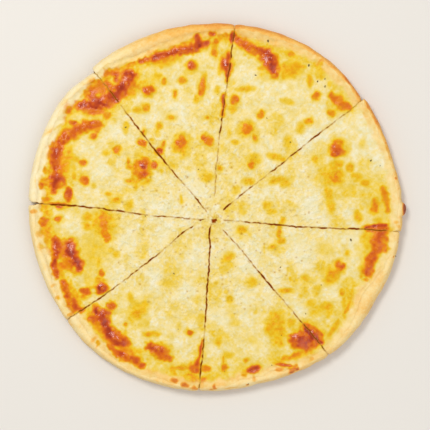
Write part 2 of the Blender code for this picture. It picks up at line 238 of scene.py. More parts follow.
# Each slice runs counterclockwise from its first cut to its second. The rim's distance
# from the pizza's middle and the bare rim's width are given at the first cut, at each
# quarter of the way and at the second cut, in mm.
SLICES = [
    # first cut, second cut, rim distances, bare rim widths
    ("east", "north_east", (152.0, 150.8, 148.7, 148.2, 149.8), (8.5, 8.5, 8.0, 7.5, 7.5)),
    ("north_east", "north", (146.9, 149.4, 150.3, 149.6, 148.6), (8.0, 8.0, 8.5, 10.0, 8.5)),
    ("north", "north_west", (148.5, 148.6, 149.2, 150.1, 151.0), (8.5, 11.0, 14.5, 14.0, 11.0)),
    ("north_west", "west", (147.4, 152.0, 152.5, 152.5, 152.3), (9.5, 9.5, 11.0, 10.0, 11.0)),
    ("west", "south_west", (152.0, 151.6, 151.2, 151.5, 152.0), (9.0, 9.5, 10.0, 8.5, 8.0)),
    ("south_west", "south", (152.2, 153.8, 153.1, 151.5, 150.2), (13.5, 12.0, 8.0, 9.0, 7.5)),
    ("south", "south_east", (150.0, 148.7, 148.3, 149.6, 151.4), (7.5, 10.0, 11.5, 8.5, 8.0)),
    ("south_east", "east", (151.7, 151.8, 150.2, 151.2, 151.0), (9.5, 12.5, 16.0, 10.5, 8.5)),
]

# Large browned blisters that stand up from the cheese, as in the solids, in mm
BLISTERS = [
    # x, y, length, width, turn in degrees, height
    (98.3, 46.3, 14, 13, 0, 1.5),
    (95.0, 24.0, 19, 16, 80, 0.8),
    (134.5, 8.5, 13, 9, 80, 1.0),
    (43.5, 116.5, 20, 14, 75, 1.6),
    (29.0, 125.3, 9, 8, 0, 1.1),
    (58.8, 110.8, 19, 11, 20, 0.8),
    (100.8, 83.4, 10, 8, 30, 1.0),
    (25.0, 62.5, 10, 10, 0, 1.0),
    (8.1, 114.9, 19, 8, 85, 1.1),
    (-10.5, 97.0, 20, 7, 80, 1.0),
    (-19.3, 113.8, 10, 10, 0, 1.2),
    (-23.0, 127.0, 30, 8, 8, 1.4),
    (-47.0, 119.5, 24, 8, 15, 1.3),
    (-55.0, 93.5, 12, 10, 20, 1.2),
    (-72.0, 100.0, 22, 14, 60, 1.7),
    (-27.4, 51.2, 11, 10, 0, 1.0),
    (-92.7, 88.0, 24, 18, 20, 1.7),
    (-105.6, 64.1, 10, 10, 0, 1.1),
    (-121.0, 55.0, 12, 9, 60, 1.2),
    (-129.0, 40.0, 24, 7, 85, 1.4),
    (-127.5, 24.0, 20, 11, 80, 1.5),
    (-58.8, 29.4, 16, 11, 70, 1.3),
    (-115.3, -39.5, 22, 13, 85, 1.7),
    (-129.0, -40.0, 18, 8, 95, 1.4),
    (-91.1, -15.7, 20, 20, 0, 0.7),
    (-121.0, -66.0, 38, 8, 122, 1.4),
    (-92.0, -66.0, 11, 11, 0, 1.3),
    (-91.1, -88.3, 20, 10, 60, 1.5),
    (-79.8, -107.6, 18, 10, 150, 1.5),
    (-67.7, -122.9, 19, 8, 155, 1.3),
    (-43.5, -118.1, 19, 11, 165, 1.3),
    (67.7, -109.2, 16, 16, 0, 1.6),
    (47.6, -97.1, 19, 15, 90, 0.8),
    (131.4, -25.0, 22, 15, 75, 1.6),
    (122.5, -49.0, 14, 12, 90, 1.4),
    (95.0, -53.0, 18, 12, 50, 0.9),
    (79.0, -104.0, 12, 8, 60, 1.1),
]

# Long browned patches of the cheese, in mm: how browned, from 0 for cream through 0.4 for
# gold and 0.6 for orange to 1 for dark brown, and x, y and width along the patch
PATCHES = [
    # between the north west and north cuts
    (0.88, [(-61, 117, 4), (-54, 119, 6), (-47, 121, 9), (-38, 124, 8), (-30, 126, 10), (-20, 127, 10),
            (-13, 130, 9), (-7, 132, 5)]),
    (0.76, [(-87, 108, 8), (-82, 107, 9), (-80, 102, 7)]),
    # across the north west cut
    (0.90, [(-109, 82, 9), (-100, 81, 14), (-94, 84, 17), (-87, 88, 14), (-80, 89, 11), (-75, 97, 15),
            (-69, 105, 12)]),
    (0.76, [(-101, 90, 12), (-95, 94, 16), (-88, 95, 14)]),
    # between the north west and west cuts
    (0.78, [(-96, 66, 8), (-107, 64, 11), (-119, 59, 12)]),
    (0.84, [(-118, 59, 10), (-124, 54, 11), (-128, 46, 12), (-129, 39, 12), (-128, 30, 14),
            (-128, 21, 15), (-131, 13, 9)]),
    (0.94, [(-130, 33, 6), (-129, 26, 8), (-129, 20, 9), (-131, 16, 6)]),
    # between the west and south west cuts
    (0.95, [(-119, -30, 9), (-117, -38, 13), (-113, -45, 12), (-111, -48, 8)]),
    (0.86, [(-129, -27, 8), (-128, -36, 10), (-131, -48, 6), (-128, -57, 5)]),
    (0.58, [(-91, -7, 9), (-91, -16, 11), (-88, -26, 8)]),
    (0.80, [(-124, -61, 7), (-119, -72, 8), (-113, -82, 9), (-108, -84, 6)]),
    # between the south west and south cuts
    (0.91, [(-97, -84, 9), (-92, -89, 14), (-89, -97, 10), (-81, -106, 14), (-74, -111, 11)]),
    (0.58, [(-99, -86, 13), (-91, -99, 15), (-79, -111, 16), (-68, -119, 10)]),
    (0.80, [(-87, -112, 4), (-78, -119, 7), (-67, -124, 10), (-60, -128, 7)]),
    (0.78, [(-52, -113, 10), (-44, -118, 13), (-38, -122, 8)]),
    (0.80, [(-11, -108, 2), (-12, -113, 3), (-13, -121, 2), (-17, -131, 7)]),
    # between the south and south east cuts, and across the south east cut
    (0.88, [(64, -106, 12), (71, -108, 18), (79, -106, 13), (83, -109, 9)]),
    (1.00, [(73, -99, 5), (78, -104, 9), (82, -107, 8), (85, -110, 4)]),
    (0.82, [(65, -111, 10), (73, -113, 12), (80, -111, 8)]),
    (0.66, [(72, -96, 6), (79, -99, 7), (85, -104, 5)]),
    (0.57, [(58, -123, 6), (67, -119, 10), (76, -114, 10)]),
    # between the south east and east cuts
    (0.80, [(124, -18, 8), (132, -19, 13), (132, -28, 17), (129, -37, 12), (124, -45, 9),
            (122, -52, 12)]),
    (0.90, [(121, -17, 2), (128, -16, 4), (137, -15, 4)]),
    (0.51, [(109, -74, 2), (107, -80, 4), (104, -86, 3)]),
    (0.47, [(99, -91, 4), (96, -98, 6), (91, -104, 5)]),
    # between the east and north east cuts
    (0.60, [(128, 5, 8), (128, -2, 10)]),
    (0.55, [(134, 15, 6), (137, 6, 9), (139, -3, 6)]),
    # between the north east and north cuts
    (0.66, [(93, 90, 7), (98, 86, 9), (102, 82, 12), (107, 80, 8)]),
    (0.78, [(16, 135, 8), (21, 131, 9), (28, 127, 9), (36, 126, 9), (41, 123, 11)]),
    (0.94, [(41, 124, 9), (43, 117, 14), (47, 109, 10)]),
    (0.90, [(10, 122, 5), (8, 115, 10), (9, 107, 5), (9, 101, 2)]),
    (0.88, [(6, 90, 2), (6, 82, 4), (5, 74, 2)]),
]

# Browned spots of the cheese, in mm: x, y, length, width, turn in degrees, and how browned
SPOTS = [
    # between the north west and north cuts
    (-71, 99, 30, 23, 60, 0.62), (-80, 86, 7, 5, 45, 0.9), (-67, 115, 19, 5, 15, 0.5),
    (-68, 116, 8, 3, 15, 0.62), (-48, 126, 4, 2, 0, 0.55), (-15, 135, 10, 5, 90, 0.84),
    (-8, 131, 5, 3, 30, 0.8), (-3, 139, 7, 5, 0, 0.85), (-22, 131, 20, 6, 0, 0.55),
    (-2, 131, 8, 8, 0, 0.5), (-20, 114, 9, 8, 90, 0.8), (-20, 115, 13, 12, 90, 0.52),
    (-55, 94, 11, 9, 0, 0.8), (-55, 94, 16, 14, 0, 0.5), (-42, 101, 7, 7, 90, 0.6),
    (-47, 105, 8, 7, 0, 0.4), (-27, 102, 8, 7, 0, 0.56), (-11, 98, 20, 7, 80, 0.6),
    (-16, 87, 7, 5, 90, 0.45), (-33, 91, 8, 5, 90, 0.5), (-56, 80, 8, 8, 0, 0.52),
    (-64, 78, 8, 6, 0, 0.43), (-36, 72, 6, 5, 0, 0.5), (-46, 65, 7, 6, 0, 0.42),
    (-7, 72, 6, 5, 0, 0.56), (-28, 52, 12, 11, 90, 0.69), (-28, 50, 18, 14, 90, 0.47),
    (-10, 56, 6, 6, 0, 0.64), (-6, 53, 12, 9, 140, 0.58), (-7, 24, 12, 9, 0, 0.4),
    (-46, 45, 6, 6, 0, 0.88), (-43, 50, 8, 3, 60, 0.62), (-2, 124, 8, 5, 90, 0.55),
    (-22, 31, 7, 4, 0, 0.28), (-52, 54, 5, 3, 0, 0.42), (-40, 121, 44, 17, 14, 0.5),
    # between the north west and west cuts
    (-95, 86, 34, 29, 20, 0.52), (-119, 78, 8, 6, 60, 0.68), (-119, 78, 13, 11, 60, 0.42),
    (-116, 68, 9, 7, 0, 0.75), (-96, 63, 9, 8, 0, 0.6), (-126, 32, 44, 25, 82, 0.52),
    (-141, 17, 8, 5, 90, 0.66), (-138, 20, 13, 11, 0, 0.5), (-138, 29, 9, 6, 90, 0.5),
    (-119, 10, 13, 8, 80, 0.8), (-136, 6, 13, 6, 0, 0.57), (-88, 74, 9, 8, 0, 0.56),
    (-99, 57, 7, 6, 0, 0.64), (-80, 46, 10, 8, 40, 0.6), (-89, 43, 7, 5, 0, 0.42),
    (-108, 35, 9, 7, 0, 0.67), (-114, 38, 9, 6, 0, 0.43), (-106, 21, 9, 8, 0, 0.7),
    (-115, 25, 7, 5, 90, 0.46), (-71, 36, 9, 4, 95, 0.57), (-70, 32, 8, 8, 0, 0.5),
    (-59, 33, 10, 9, 90, 0.9), (-60, 26, 12, 12, 0, 0.83), (-60, 29, 26, 19, 80, 0.57),
    (-71, 21, 7, 4, 0, 0.56), (-50, 33, 7, 6, 90, 0.7), (-60, 51, 9, 8, 0, 0.7),
    (-59, 60, 6, 3, 70, 0.62), (-87, 10, 7, 4, 0, 0.42), (-81, 5, 8, 7, 0, 0.46),
    (-71, 1, 9, 8, 90, 0.43), (-28, 6, 7, 3, 95, 0.42), (-44, 29, 4, 4, 0, 0.36),
    (-99, 17, 5, 4, 90, 0.32), (-73, 64, 9, 5, 80, 0.38), (-130, 63, 20, 3, 32, 0.4),
    (-128, 2, 20, 3, 174, 0.72), (-127, 0, 8, 3, 0, 0.75),
    # between the west and south west cuts
    (-139, -12, 10, 9, 80, 0.66), (-127, -10, 7, 6, 0, 0.68), (-138, -17, 14, 8, 80, 0.47),
    (-91, -15, 26, 24, 0, 0.46), (-104, -16, 9, 9, 0, 0.45), (-103, -9, 10, 8, 0, 0.45),
    (-128, -28, 11, 8, 0, 0.57), (-118, -27, 8, 6, 0, 0.67), (-121, -39, 33, 27, 97, 0.64),
    (-137, -26, 22, 5, 98, 0.45), (-106, -69, 11, 8, 160, 0.78), (-107, -73, 11, 8, 0, 0.5),
    (-116, -73, 32, 14, 122, 0.5), (-92, -66, 11, 11, 0, 0.97), (-92, -54, 9, 6, 90, 0.68),
    (-93, -60, 11, 9, 0, 0.5), (-95, -46, 11, 4, 90, 0.4), (-127, -74, 4, 3, 0, 0.45),
    (-81, -39, 8, 7, 0, 0.38), (-85, -35, 7, 5, 0, 0.35), (-103, -59, 12, 9, 90, 0.33),
    (-98, -36, 44, 26, 80, 0.33), (-140, -32, 7, 5, 0, 0.42),
    # between the south west and south cuts
    (-84, -80, 10, 9, 0, 0.75), (-99, -90, 10, 9, 0, 0.74), (-68, -123, 22, 14, 155, 0.54),
    (-95, -110, 7, 5, 95, 0.55), (-44, -117, 22, 17, 155, 0.52), (-69, -74, 9, 6, 90, 0.41),
    (-58, -79, 11, 10, 0, 0.39), (-65, -88, 12, 10, 30, 0.47), (-62, -83, 24, 14, 55, 0.38),
    (-53, -103, 17, 6, 0, 0.5), (-73, -95, 4, 4, 0, 0.5), (-21, -102, 7, 6, 0, 0.66),
    (-40, -62, 12, 7, 0, 0.3), (-16, -75, 8, 8, 0, 0.28), (-12, -90, 7, 7, 0, 0.36),
    (-30, -97, 8, 5, 90, 0.3), (-18, -132, 11, 8, 0, 0.76), (-28, -131, 22, 6, 0, 0.52),
    (-35, -134, 7, 8, 0, 0.46), (-63, -117, 8, 5, 0, 0.42), (-44, -133, 9, 8, 0, 0.3),
    # between the south and south east cuts
    (-9, -131, 10, 7, 0, 0.62), (7, -130, 8, 6, 90, 0.62), (6, -124, 8, 2, 90, 0.5),
    (10, -120, 9, 6, 0, 0.38), (24, -124, 8, 6, 20, 0.54), (31, -131, 13, 8, 15, 0.84),
    (31, -131, 18, 11, 15, 0.5), (23, -134, 8, 7, 0, 0.46), (56, -128, 16, 3, 174, 0.76),
    (62, -132, 11, 5, 48, 0.74), (57, -122, 12, 8, 0, 0.54), (74, -106, 32, 28, 30, 0.52),
    (49, -96, 24, 18, 100, 0.46), (44, -98, 10, 12, 0, 0.47), (50, -109, 13, 12, 0, 0.43),
    (60, -94, 9, 8, 0, 0.42), (29, -61, 9, 9, 0, 0.42), (11, -75, 7, 5, 90, 0.42),
    (8, -69, 4, 4, 0, 0.36), (2, -109, 10, 6, 80, 0.43), (16, -93, 8, 7, 0, 0.3),
    (53, -85, 7, 5, 0, 0.36), (30, -108, 8, 8, 0, 0.28), (0, -62, 4, 4, 0, 0.4),
    # between the south east and east cuts
    (130, -27, 36, 22, 75, 0.46), (122, -51, 16, 14, 80, 0.52), (121, -59, 7, 5, 0, 0.55),
    (99, -48, 11, 9, 30, 0.76), (94, -54, 19, 13, 50, 0.48), (86, -52, 8, 8, 0, 0.36),
    (60, -59, 5, 3, 90, 0.42), (72, -58, 8, 6, 160, 0.4), (82, -66, 8, 8, 0, 0.36),
    (80, -70, 7, 7, 0, 0.36), (76, -78, 10, 8, 0, 0.4), (90, -81, 12, 8, 0, 0.44),
    (102, -69, 8, 6, 80, 0.5), (56, -68, 14, 5, 0, 0.47), (21, -19, 10, 7, 20, 0.48),
    (51, -19, 14, 4, 86, 0.48), (53, -28, 7, 5, 0, 0.45), (46, -33, 8, 6, 20, 0.44),
    (9, -42, 13, 7, 40, 0.42), (39, -34, 8, 2, 90, 0.36), (106, -37, 4, 4, 0, 0.43),
    (88, -35, 16, 13, 0, 0.26),
    # between the east and north east cuts
    (54, -11, 8, 5, 80, 0.43), (115, -8, 10, 6, 110, 0.46), (98, 46, 15, 15, 0, 0.74),
    (97, 43, 10, 7, 20, 0.82), (98, 46, 20, 19, 0, 0.5), (80, 38, 7, 6, 90, 0.48),
    (95, 25, 20, 18, 0, 0.47), (95, 22, 9, 9, 0, 0.58), (97, 34, 13, 9, 0, 0.47),
    (108, 31, 8, 7, 0, 0.48), (114, 24, 11, 8, 160, 0.45), (120, 19, 8, 7, 0, 0.47),
    (92, 6, 24, 7, 98, 0.42), (133, 4, 26, 16, 95, 0.32), (46, 20, 8, 6, 0, 0.43),
    (56, 19, 9, 7, 0, 0.43), (51, 22, 20, 6, 0, 0.39), (42, 1, 9, 8, 0, 0.41),
    (21, -4, 8, 5, 0, 0.36), (45, -4, 9, 6, 0, 0.41), (118, 51, 8, 5, 80, 0.28),
    (111, 11, 6, 5, 0, 0.36),
    # between the north east and north cuts
    (15, 86, 10, 8, 60, 0.68), (13, 79, 8, 7, 0, 0.45), (36, 74, 11, 7, 65, 0.58),
    (25, 62, 11, 10, 0, 0.66), (25, 62, 16, 14, 0, 0.42), (31, 56, 10, 5, 105, 0.52),
    (16, 52, 7, 5, 0, 0.42), (11, 59, 7, 5, 90, 0.36), (29, 33, 9, 7, 60, 0.62),
    (31, 38, 12, 9, 0, 0.4), (3, 31, 6, 6, 0, 0.5), (48, 40, 12, 6, 165, 0.45),
    (54, 38, 7, 4, 10, 0.45), (27, 20, 11, 6, 0, 0.47), (16, 13, 7, 7, 0, 0.36),
    (24, 95, 16, 5, 2, 0.44), (74, 69, 9, 7, 0, 0.5), (68, 64, 9, 7, 60, 0.4),
    (81, 89, 9, 8, 60, 0.6), (101, 83, 20, 14, 138, 0.42), (93, 75, 8, 8, 30, 0.52),
    (76, 102, 12, 5, 95, 0.46), (61, 111, 24, 15, 18, 0.45), (61, 123, 8, 6, 0, 0.5),
    (43, 117, 30, 20, 72, 0.6), (13, 136, 12, 5, 84, 0.95), (8, 115, 26, 14, 86, 0.56),
    (0, 134, 7, 6, 90, 0.6), (8, 138, 9, 5, 0, 0.57), (30, 128, 34, 13, 165, 0.5),
    (0, 123, 6, 4, 90, 0.5), (1, 94, 8, 5, 90, 0.4), (70, 113, 8, 5, 0, 0.42),
    (83, 109, 8, 8, 0, 0.34), (92, 99, 5, 4, 90, 0.42), (85, 115, 5, 4, 90, 0.44),
    (57, 85, 12, 5, 165, 0.36), (58, 52, 12, 7, 90, 0.38),
]

# Places where the cheese is paler, in mm: x, y, size. Partly cheese that stayed pale, partly painted
# highlights of its wet sheen
PALE_AND_SHEEN_PLACES = [
    (115, 68, 30), (131, 32, 20), (111, -26, 30), (42, -73, 26), (52, 98, 28), (-121, -19, 14),
    (75, 50, 24), (-35, -112, 16), (-68, -28, 30), (24, -50, 26), (68, -40, 30), (78, 0, 26),
    (-92, 30, 18), (-30, 78, 20), (-20, -40, 24), (-80, 60, 16), (95, 104, 16), (33, 45, 12),
    (-16, 20, 26), (-24, 42, 16), (-40, -22, 26), (-24, -68, 30), (-50, -60, 20), (2, -90, 26),
    (22, -84, 22), (68, -84, 22), (96, -68, 16), (108, -10, 18), (126, 56, 16), (112, 46, 18),
]

# How much more golden, or less, the cheese is at its edge: bearing in degrees, and by how much
EDGE_GOLD = [
    (-30, 0.05), (-10, 0.05), (10, 0.0), (28, -0.05), (38, -0.05), (45, 0.12), (70, 0.06), (85, 0.25),
    (115, 0.28), (135, 0.28), (170, 0.2), (185, 0.2), (215, 0.2), (235, 0.12), (250, 0.08),
    (262, 0.16), (280, 0.1), (300, 0.1), (330, 0.05),
]

# How toasted the bare rim is around the pizza, with painted light and shade in it: paler at the left,
# towards the key light, darker on the far side, and painted lighter at the bottom, where the rim lies
# in shade. Bearing in degrees, outer edge, inner side
RIM_TOAST_AND_LIGHT = [
    (-30, 0.30, 0.26), (-15, 0.29, 0.22), (0, 0.30, 0.18), (10, 0.34, 0.20), (20, 0.44, 0.22),
    (30, 0.50, 0.27), (45, 0.52, 0.27), (60, 0.47, 0.27), (75, 0.54, 0.29), (90, 0.54, 0.32),
    (105, 0.41, 0.29), (118, 0.27, 0.24), (128, 0.12, 0.16), (135, 0.05, 0.08), (150, 0.02, 0.06),
    (170, 0.03, 0.05), (178, 0.06, 0.08), (182, 0.20, 0.18), (200, 0.20, 0.17), (217, 0.23, 0.19),
    (225, 0.22, 0.19), (240, 0.24, 0.24), (255, 0.24, 0.29), (265, 0.22, 0.29), (280, 0.21, 0.25),
    (295, 0.30, 0.24), (307, 0.28, 0.24), (320, 0.27, 0.22), (330, 0.30, 0.26),
]

# Browned streaks and specks of the rim: bearing in degrees, distance from the middle,
# size along the rim and across it in mm, and how toasted
RIM_STREAKS = [
    (-15.8, 150.2, 2.5, 2.5, 0.75), (-11.0, 152.3, 2, 2, 0.9), (-6, 149, 4, 7, 0.4),
    (-5, 146, 4, 9, 0.42), (5.5, 149, 3, 6, 0.42), (9, 148.5, 2.5, 3.5, 0.66),
    (20.5, 147.5, 2.5, 3, 0.66), (27.8, 148.5, 2.5, 2.5, 0.74), (18, 146, 20, 4, 0.45),
    (28, 146.8, 16, 4.5, 0.58), (33, 147.5, 14, 4.5, 0.64), (38, 146.5, 9, 4, 0.6),
    (44, 147.5, 15, 5, 0.7), (50, 148, 18, 5, 0.54), (54, 144, 5, 14, 0.46),
    (57, 148, 12, 6, 0.46), (63, 148, 16, 6, 0.4), (70, 147.5, 16, 5, 0.42),
    (78, 147, 18, 6, 0.4), (83, 146.5, 7, 7, 0.46), (88, 147, 14, 6, 0.42),
    (98, 148, 22, 4, 0.36), (115, 149, 24, 4, 0.36), (181.5, 148, 4, 11, 0.46),
    (189, 144, 9, 7, 0.4), (193, 145, 9, 6, 0.36), (209.8, 148, 3, 7, 0.44),
    (216.5, 146, 5, 7, 0.46), (206, 146, 4, 7, 0.4), (227.5, 146, 5, 9, 0.44),
    (229.5, 147, 2.5, 6, 0.55), (238.5, 145, 7, 5, 0.5), (251, 148, 9, 6, 0.3),
    (256.5, 144.5, 9, 5, 0.66), (260, 146, 10, 5, 0.64), (263, 147.5, 8, 5, 0.6),
    (269.5, 146, 4, 10, 0.64), (268.5, 149, 4, 4, 0.6), (275, 148.5, 14, 3, 0.42),
    (280, 147.3, 2.5, 2.5, 0.82), (282.5, 142, 4, 9, 0.46), (286, 148, 14, 3, 0.38),
    (294.5, 147.5, 5, 4, 0.78), (296.5, 145.5, 4, 7, 0.72), (295, 143, 5, 5, 0.66),
    (291.5, 141, 9, 4, 0.58), (302, 145, 7, 5, 0.42),
]

# Dark specks of herb and pepper that lie on top, in mm: x, y, length
SPECKS = [
    (75, 114, 2.4), (82, 101, 2.0), (88, 103, 1.8), (88, 97, 2.2), (125, 37, 2.0),
    (32, 106, 1.8), (42, 134, 3.2), (145, -40, 2.0), (109, -27, 2.6), (-73, 64, 2.0),
    (26, -143, 1.6), (60, 52, 1.6), (-14, 30, 1.5), (52, -49, 1.6), (-34, -54, 1.5),
]
SPECK_COUNT = 14  # finer ones, strewn about
SPECK_SIZES = (0.0006, 0.0013)
SPECK_CORNERS = 7
SPECK_HALF = 0.00012  # half its thickness
SPECK_LIFT = 0.00018  # of its middle over the cheese

# Colours of the materials as red, green and blue from 0 to 255
CHEESE_RAMP = [
    (0.00, (246, 239, 208)),
    (0.14, (247, 226, 158)),
    (0.27, (243, 213, 100)),
    (0.38, (241, 200, 32)),
    (0.46, (240, 180, 0)),
    (0.54, (237, 153, 0)),
    (0.64, (232, 128, 0)),
    (0.76, (219, 101, 0)),
    (0.88, (198, 70, 2)),
    (1.00, (164, 46, 2)),
]
CRUST_RAMP = [
    (0.00, (254, 240, 198)),
    (0.20, (252, 224, 156)),
    (0.40, (248, 191, 88)),
    (0.55, (240, 156, 52)),
    (0.70, (216, 117, 38)),
    (0.85, (172, 82, 32)),
    (1.00, (112, 44, 22)),
]
CRUMB_COLOURS = ((246, 226, 172), (226, 186, 116))
# colours of the dark cuts, baked juice with painted shade, and of the painted shade in the pits
JUICE_AND_SHADE_RAMP = [(0.30, (196, 146, 50)), (0.65, (166, 98, 6)), (1.00, (142, 56, 0))]
DIM_TINT = (0.93, 0.92, 0.78, 1.0)  # what duller patches of the cheese let through
SPECK_COLOURS = ((132, 110, 50), (84, 60, 30))
FLOOR_COLOUR = (236, 232, 226)
REFLECTED = 0.88  # share of a listed colour that a material gets, as the lights are bright

# Camera and lights
CAMERA_HEIGHT = 1.2
VIEW_MIDDLE = (-0.0008, -0.00685)
VIEW_WIDTH = 0.3466  # of what the picture takes in at the rim's height
SENSOR = 36.0
FLOOR_SIZE, FLOOR_DROP = 6.0, 0.0002
WORLD_COLOUR, WORLD_STRENGTH = (1.0, 0.99, 0.97, 1.0), 0.60
LIGHTS = [
    # name, place, size, power, colour
    ("key", (-0.5, 0.6, 1.4), 0.5, 12.5, (1.0, 0.98, 0.94)),
    ("fill", (0.8, -0.6, 1.3), 1.2, 5.5, (1.0, 0.99, 0.98)),
]


def linear(colour):
    """A colour from 0 to 255 as the light that it stands for."""
    share = np.array(colour) / 255
    light = np.where(share <= 0.04045, share / 12.92, ((share + 0.055) / 1.055) ** 2.4)
    return (*(light * REFLECTED), 1.0)


def lumps(x, y, cell, seed):
    """Smooth uneven bumps from -1 to 1, about one to a cell, the same for each seed."""
    size = 64
    heights = np.random.RandomState(seed).uniform(-1.0, 1.0, (size, size))
    u, v = x / cell, y / cell
    i, j = np.floor(u).astype(int), np.floor(v).astype(int)
    s, t = u - i, v - j
    s, t = s * s * (3 - 2 * s), t * t * (3 - 2 * t)
    i0, i1, j0, j1 = i % size, (i + 1) % size, j % size, (j + 1) % size
    low = heights[i0, j0] * (1 - s) + heights[i1, j0] * s
    high = heights[i0, j1] * (1 - s) + heights[i1, j1] * s
    return low * (1 - t) + high * t


def uneven(kind, x, y):
    """The random lumps of one kind, added up."""
    return sum(height * lumps(x, y, cell, seed) for height, cell, seed in LUMPS[kind])


def smooth_step(low, high, value):
    share = np.clip((value - low) / (high - low), 0, 1)
    return share * share * (3 - 2 * share)


def faded(low, high, amount, value):
    """An amount that sets in between two values."""
    return amount * smooth_step(low, high, value)


def half_circle(share):
    """Height of a half circle, from 1 at its middle to 0 at its edge."""
    return np.sqrt(np.clip(1 - share**2, 0, 1))


def smooth_through(at, values, where):
    """Values at some places, on a smooth curve through the values that are given."""
    at, values = np.asarray(at), np.asarray(values, dtype=float)
    slopes = np.gradient(values, at, axis=0)
    k = np.clip(np.searchsorted(at, where, side="right") - 1, 0, len(at) - 2)
    step = at[k + 1] - at[k]
    u = (where - at[k]) / step
    if values.ndim == 2:
        u, step = u[:, None], step[:, None]
    return (
        (2 * u**3 - 3 * u**2 + 1) * values[k]
        + (u**3 - 2 * u**2 + u) * step * slopes[k]
        + (3 * u**2 - 2 * u**3) * values[k + 1]
        + (u**3 - u**2) * step * slopes[k + 1]
    )


def cut_shows(name, x, y):
    """How dark a cut shows near a place."""
    from_hub = np.hypot(x - HUB[0] * MM, y - HUB[1] * MM) / MM
    shown = np.interp(from_hub, *np.array(CUT_SHOWS[name]).T)
    return np.clip(shown * (1 + uneven("cut_shows", x, y)), 0, 1)


def cut_line(name):
    """A cut's middle line, the direction to its left, and its width along it."""
    points = np.array([HUB, *CUTS[name]]) * MM
    at = np.concatenate([[0.0], np.cumsum(np.hypot(*np.diff(points, axis=0).T))])
    where = np.linspace(0.0, at[-1], CUT_SAMPLES)
    line = smooth_through(at, points, where)
    along = np.gradient(line, axis=0)
    along /= np.hypot(*along.T)[:, None]
    left = np.stack([-along[:, 1], along[:, 0]], axis=1)
    line = line + left * uneven("cut_strays", *line.T)[:, None]
    opened = np.clip(1 - (at[-1] - where) / OPENING_LENGTH, 0, 1)
    narrow, wide = CUT_WIDTHS
    width = narrow + (wide - narrow) * cut_shows(name, *line.T)
    return line, left, width + OPENINGS.get(name, 0.0) * opened**1.5


def beside_cut(name, side):
    """The edge that a cut leaves on the slice to its left (side 1) or right (side -1)."""
    line, left, width = cut_line(name)
    return line + left * side * width[:, None] / 2


class SlicePlan:
    """Where a slice lies, seen from above, in polar coordinates about its own tip."""

    def __init__(self, first, second, reach, bare):
        self.cuts = (first, second)
        edge_a, edge_b = beside_cut(first, 1), beside_cut(second, -1)
        between = edge_b - edge_a
        ahead = edge_a[:, 0] * between[:, 1] - edge_a[:, 1] * between[:, 0]
        hub = np.array(HUB) * MM
        ahead -= hub[0] * between[:, 1] - hub[1] * between[:, 0]
        apart = np.hypot(between[:, 0], between[:, 1])
        start = int(np.argmax((apart > TIP_WIDTH) & (ahead > 0)))
        self.tip = (edge_a[start] + edge_b[start]) / 2
        outer = (edge_a[-1] + edge_b[-1]) / 2 - self.tip
        self.heading = math.atan2(outer[1], outer[0])
        self.table_a = self.polar(edge_a[start:])
        self.table_b = self.polar(edge_b[start:])
        self.reach, self.bare = np.array(reach) * MM, np.array(bare) * MM

    def polar(self, points):
        """Distances from the tip, and angles from the slice's heading."""
        away = points - self.tip
        angle = np.arctan2(away[:, 1], away[:, 0]) - self.heading
        angle = (angle + math.pi) % (2 * math.pi) - math.pi
        return np.hypot(away[:, 0], away[:, 1]), angle

    def angles(self, out):
        """The angles of the slice's two sides at a distance out from the tip."""
        return np.interp(out, *self.table_a), np.interp(out, *self.table_b)

    def point(self, out, across):
        """x and y at a distance out from the tip, and a share across the slice."""
        first, second = self.angles(out)
        angle = self.heading + first + (second - first) * across
        return self.tip[0] + out * np.cos(angle), self.tip[1] + out * np.sin(angle)

    def from_cut(self, out, across):
        """How far a place is from the nearer of the slice's two cuts."""
        first, second = self.angles(out)
        return np.minimum(across, 1 - across) * (second - first) * out

    @staticmethod
    def along_rim(values, across):
        return smooth_through(np.linspace(0, 1, len(values)), values, across)

    def distance_to(self, target, across):
        """How far from the tip a line lies that is a given distance from the middle."""
        low, high = 0.5 * target, 1.5 * target
        for _ in range(24):
            middle = (low + high) / 2
            inside = np.hypot(*self.point(middle, across)) < target
            low = np.where(inside, middle, low)
            high = np.where(inside, high, middle)
        return (low + high) / 2

    def round_rim(self, across):
        """Distance from the tip to the rim's outer edge, but for its corners and drip."""
        return self.distance_to(self.along_rim(self.reach, across), across)

    def rim_out(self, across):
        """Distance from the tip to the rim's outer edge."""
        rim = self.round_rim(across)
        wide = (self.table_b[1][-1] - self.table_a[1][-1]) * self.reach[1]
        near = np.minimum(across, 1 - across) * wide
        corner = np.clip(1 - near / CORNER_ROUND, 0, 1)
        x, y = self.point(rim, across)
        off = (np.arctan2(y, x) - DRIP_ANGLE) * self.reach[1] / (DRIP_SIZE[0] / 2)
        return rim - CORNER_DROP * corner**2 + DRIP_SIZE[1] * half_circle(off)

    def bare_width(self, across):
        """Width of the rim that no cheese covers."""
        return self.along_rim(self.bare, across)

    def cheese_out(self, across):
        """Distance from the tip to the cheese's edge, which strays a little."""
        edge = self.round_rim(across) - self.bare_width(across)
        x, y = self.point(edge, across)
        return edge + uneven("cheese_edge", x, y)


def dough_top(plan, out, across):
    """Height of the dough: the bed, and the rim's inner and outer slopes."""
    x, y = plan.point(out, across)
    bare, round_rim = plan.bare_width(across), plan.round_rim(across)
    crest = bare * RIM_CREST_SHARE
    slope = bare - crest + RIM_FOOT
    beyond = (out - round_rim + crest) / (plan.rim_out(across) - round_rim + crest)
    inset = np.where(beyond < 0, round_rim - out, crest * (1 - beyond))
    peak = RIM_HEIGHT * (1 + uneven("rim_height", x, y))
    outside = np.clip((crest - inset) / crest, 0, 1)
    outer = RIM_WAIST + (peak - RIM_WAIST) * np.sqrt(1 - outside**2)
    down = np.clip((inset - crest) / slope, 0, 1)
    inner = DOUGH_BED + (peak - DOUGH_BED) * (1 + np.cos(math.pi * down)) / 2
    return np.where(inset < crest, outer, inner)


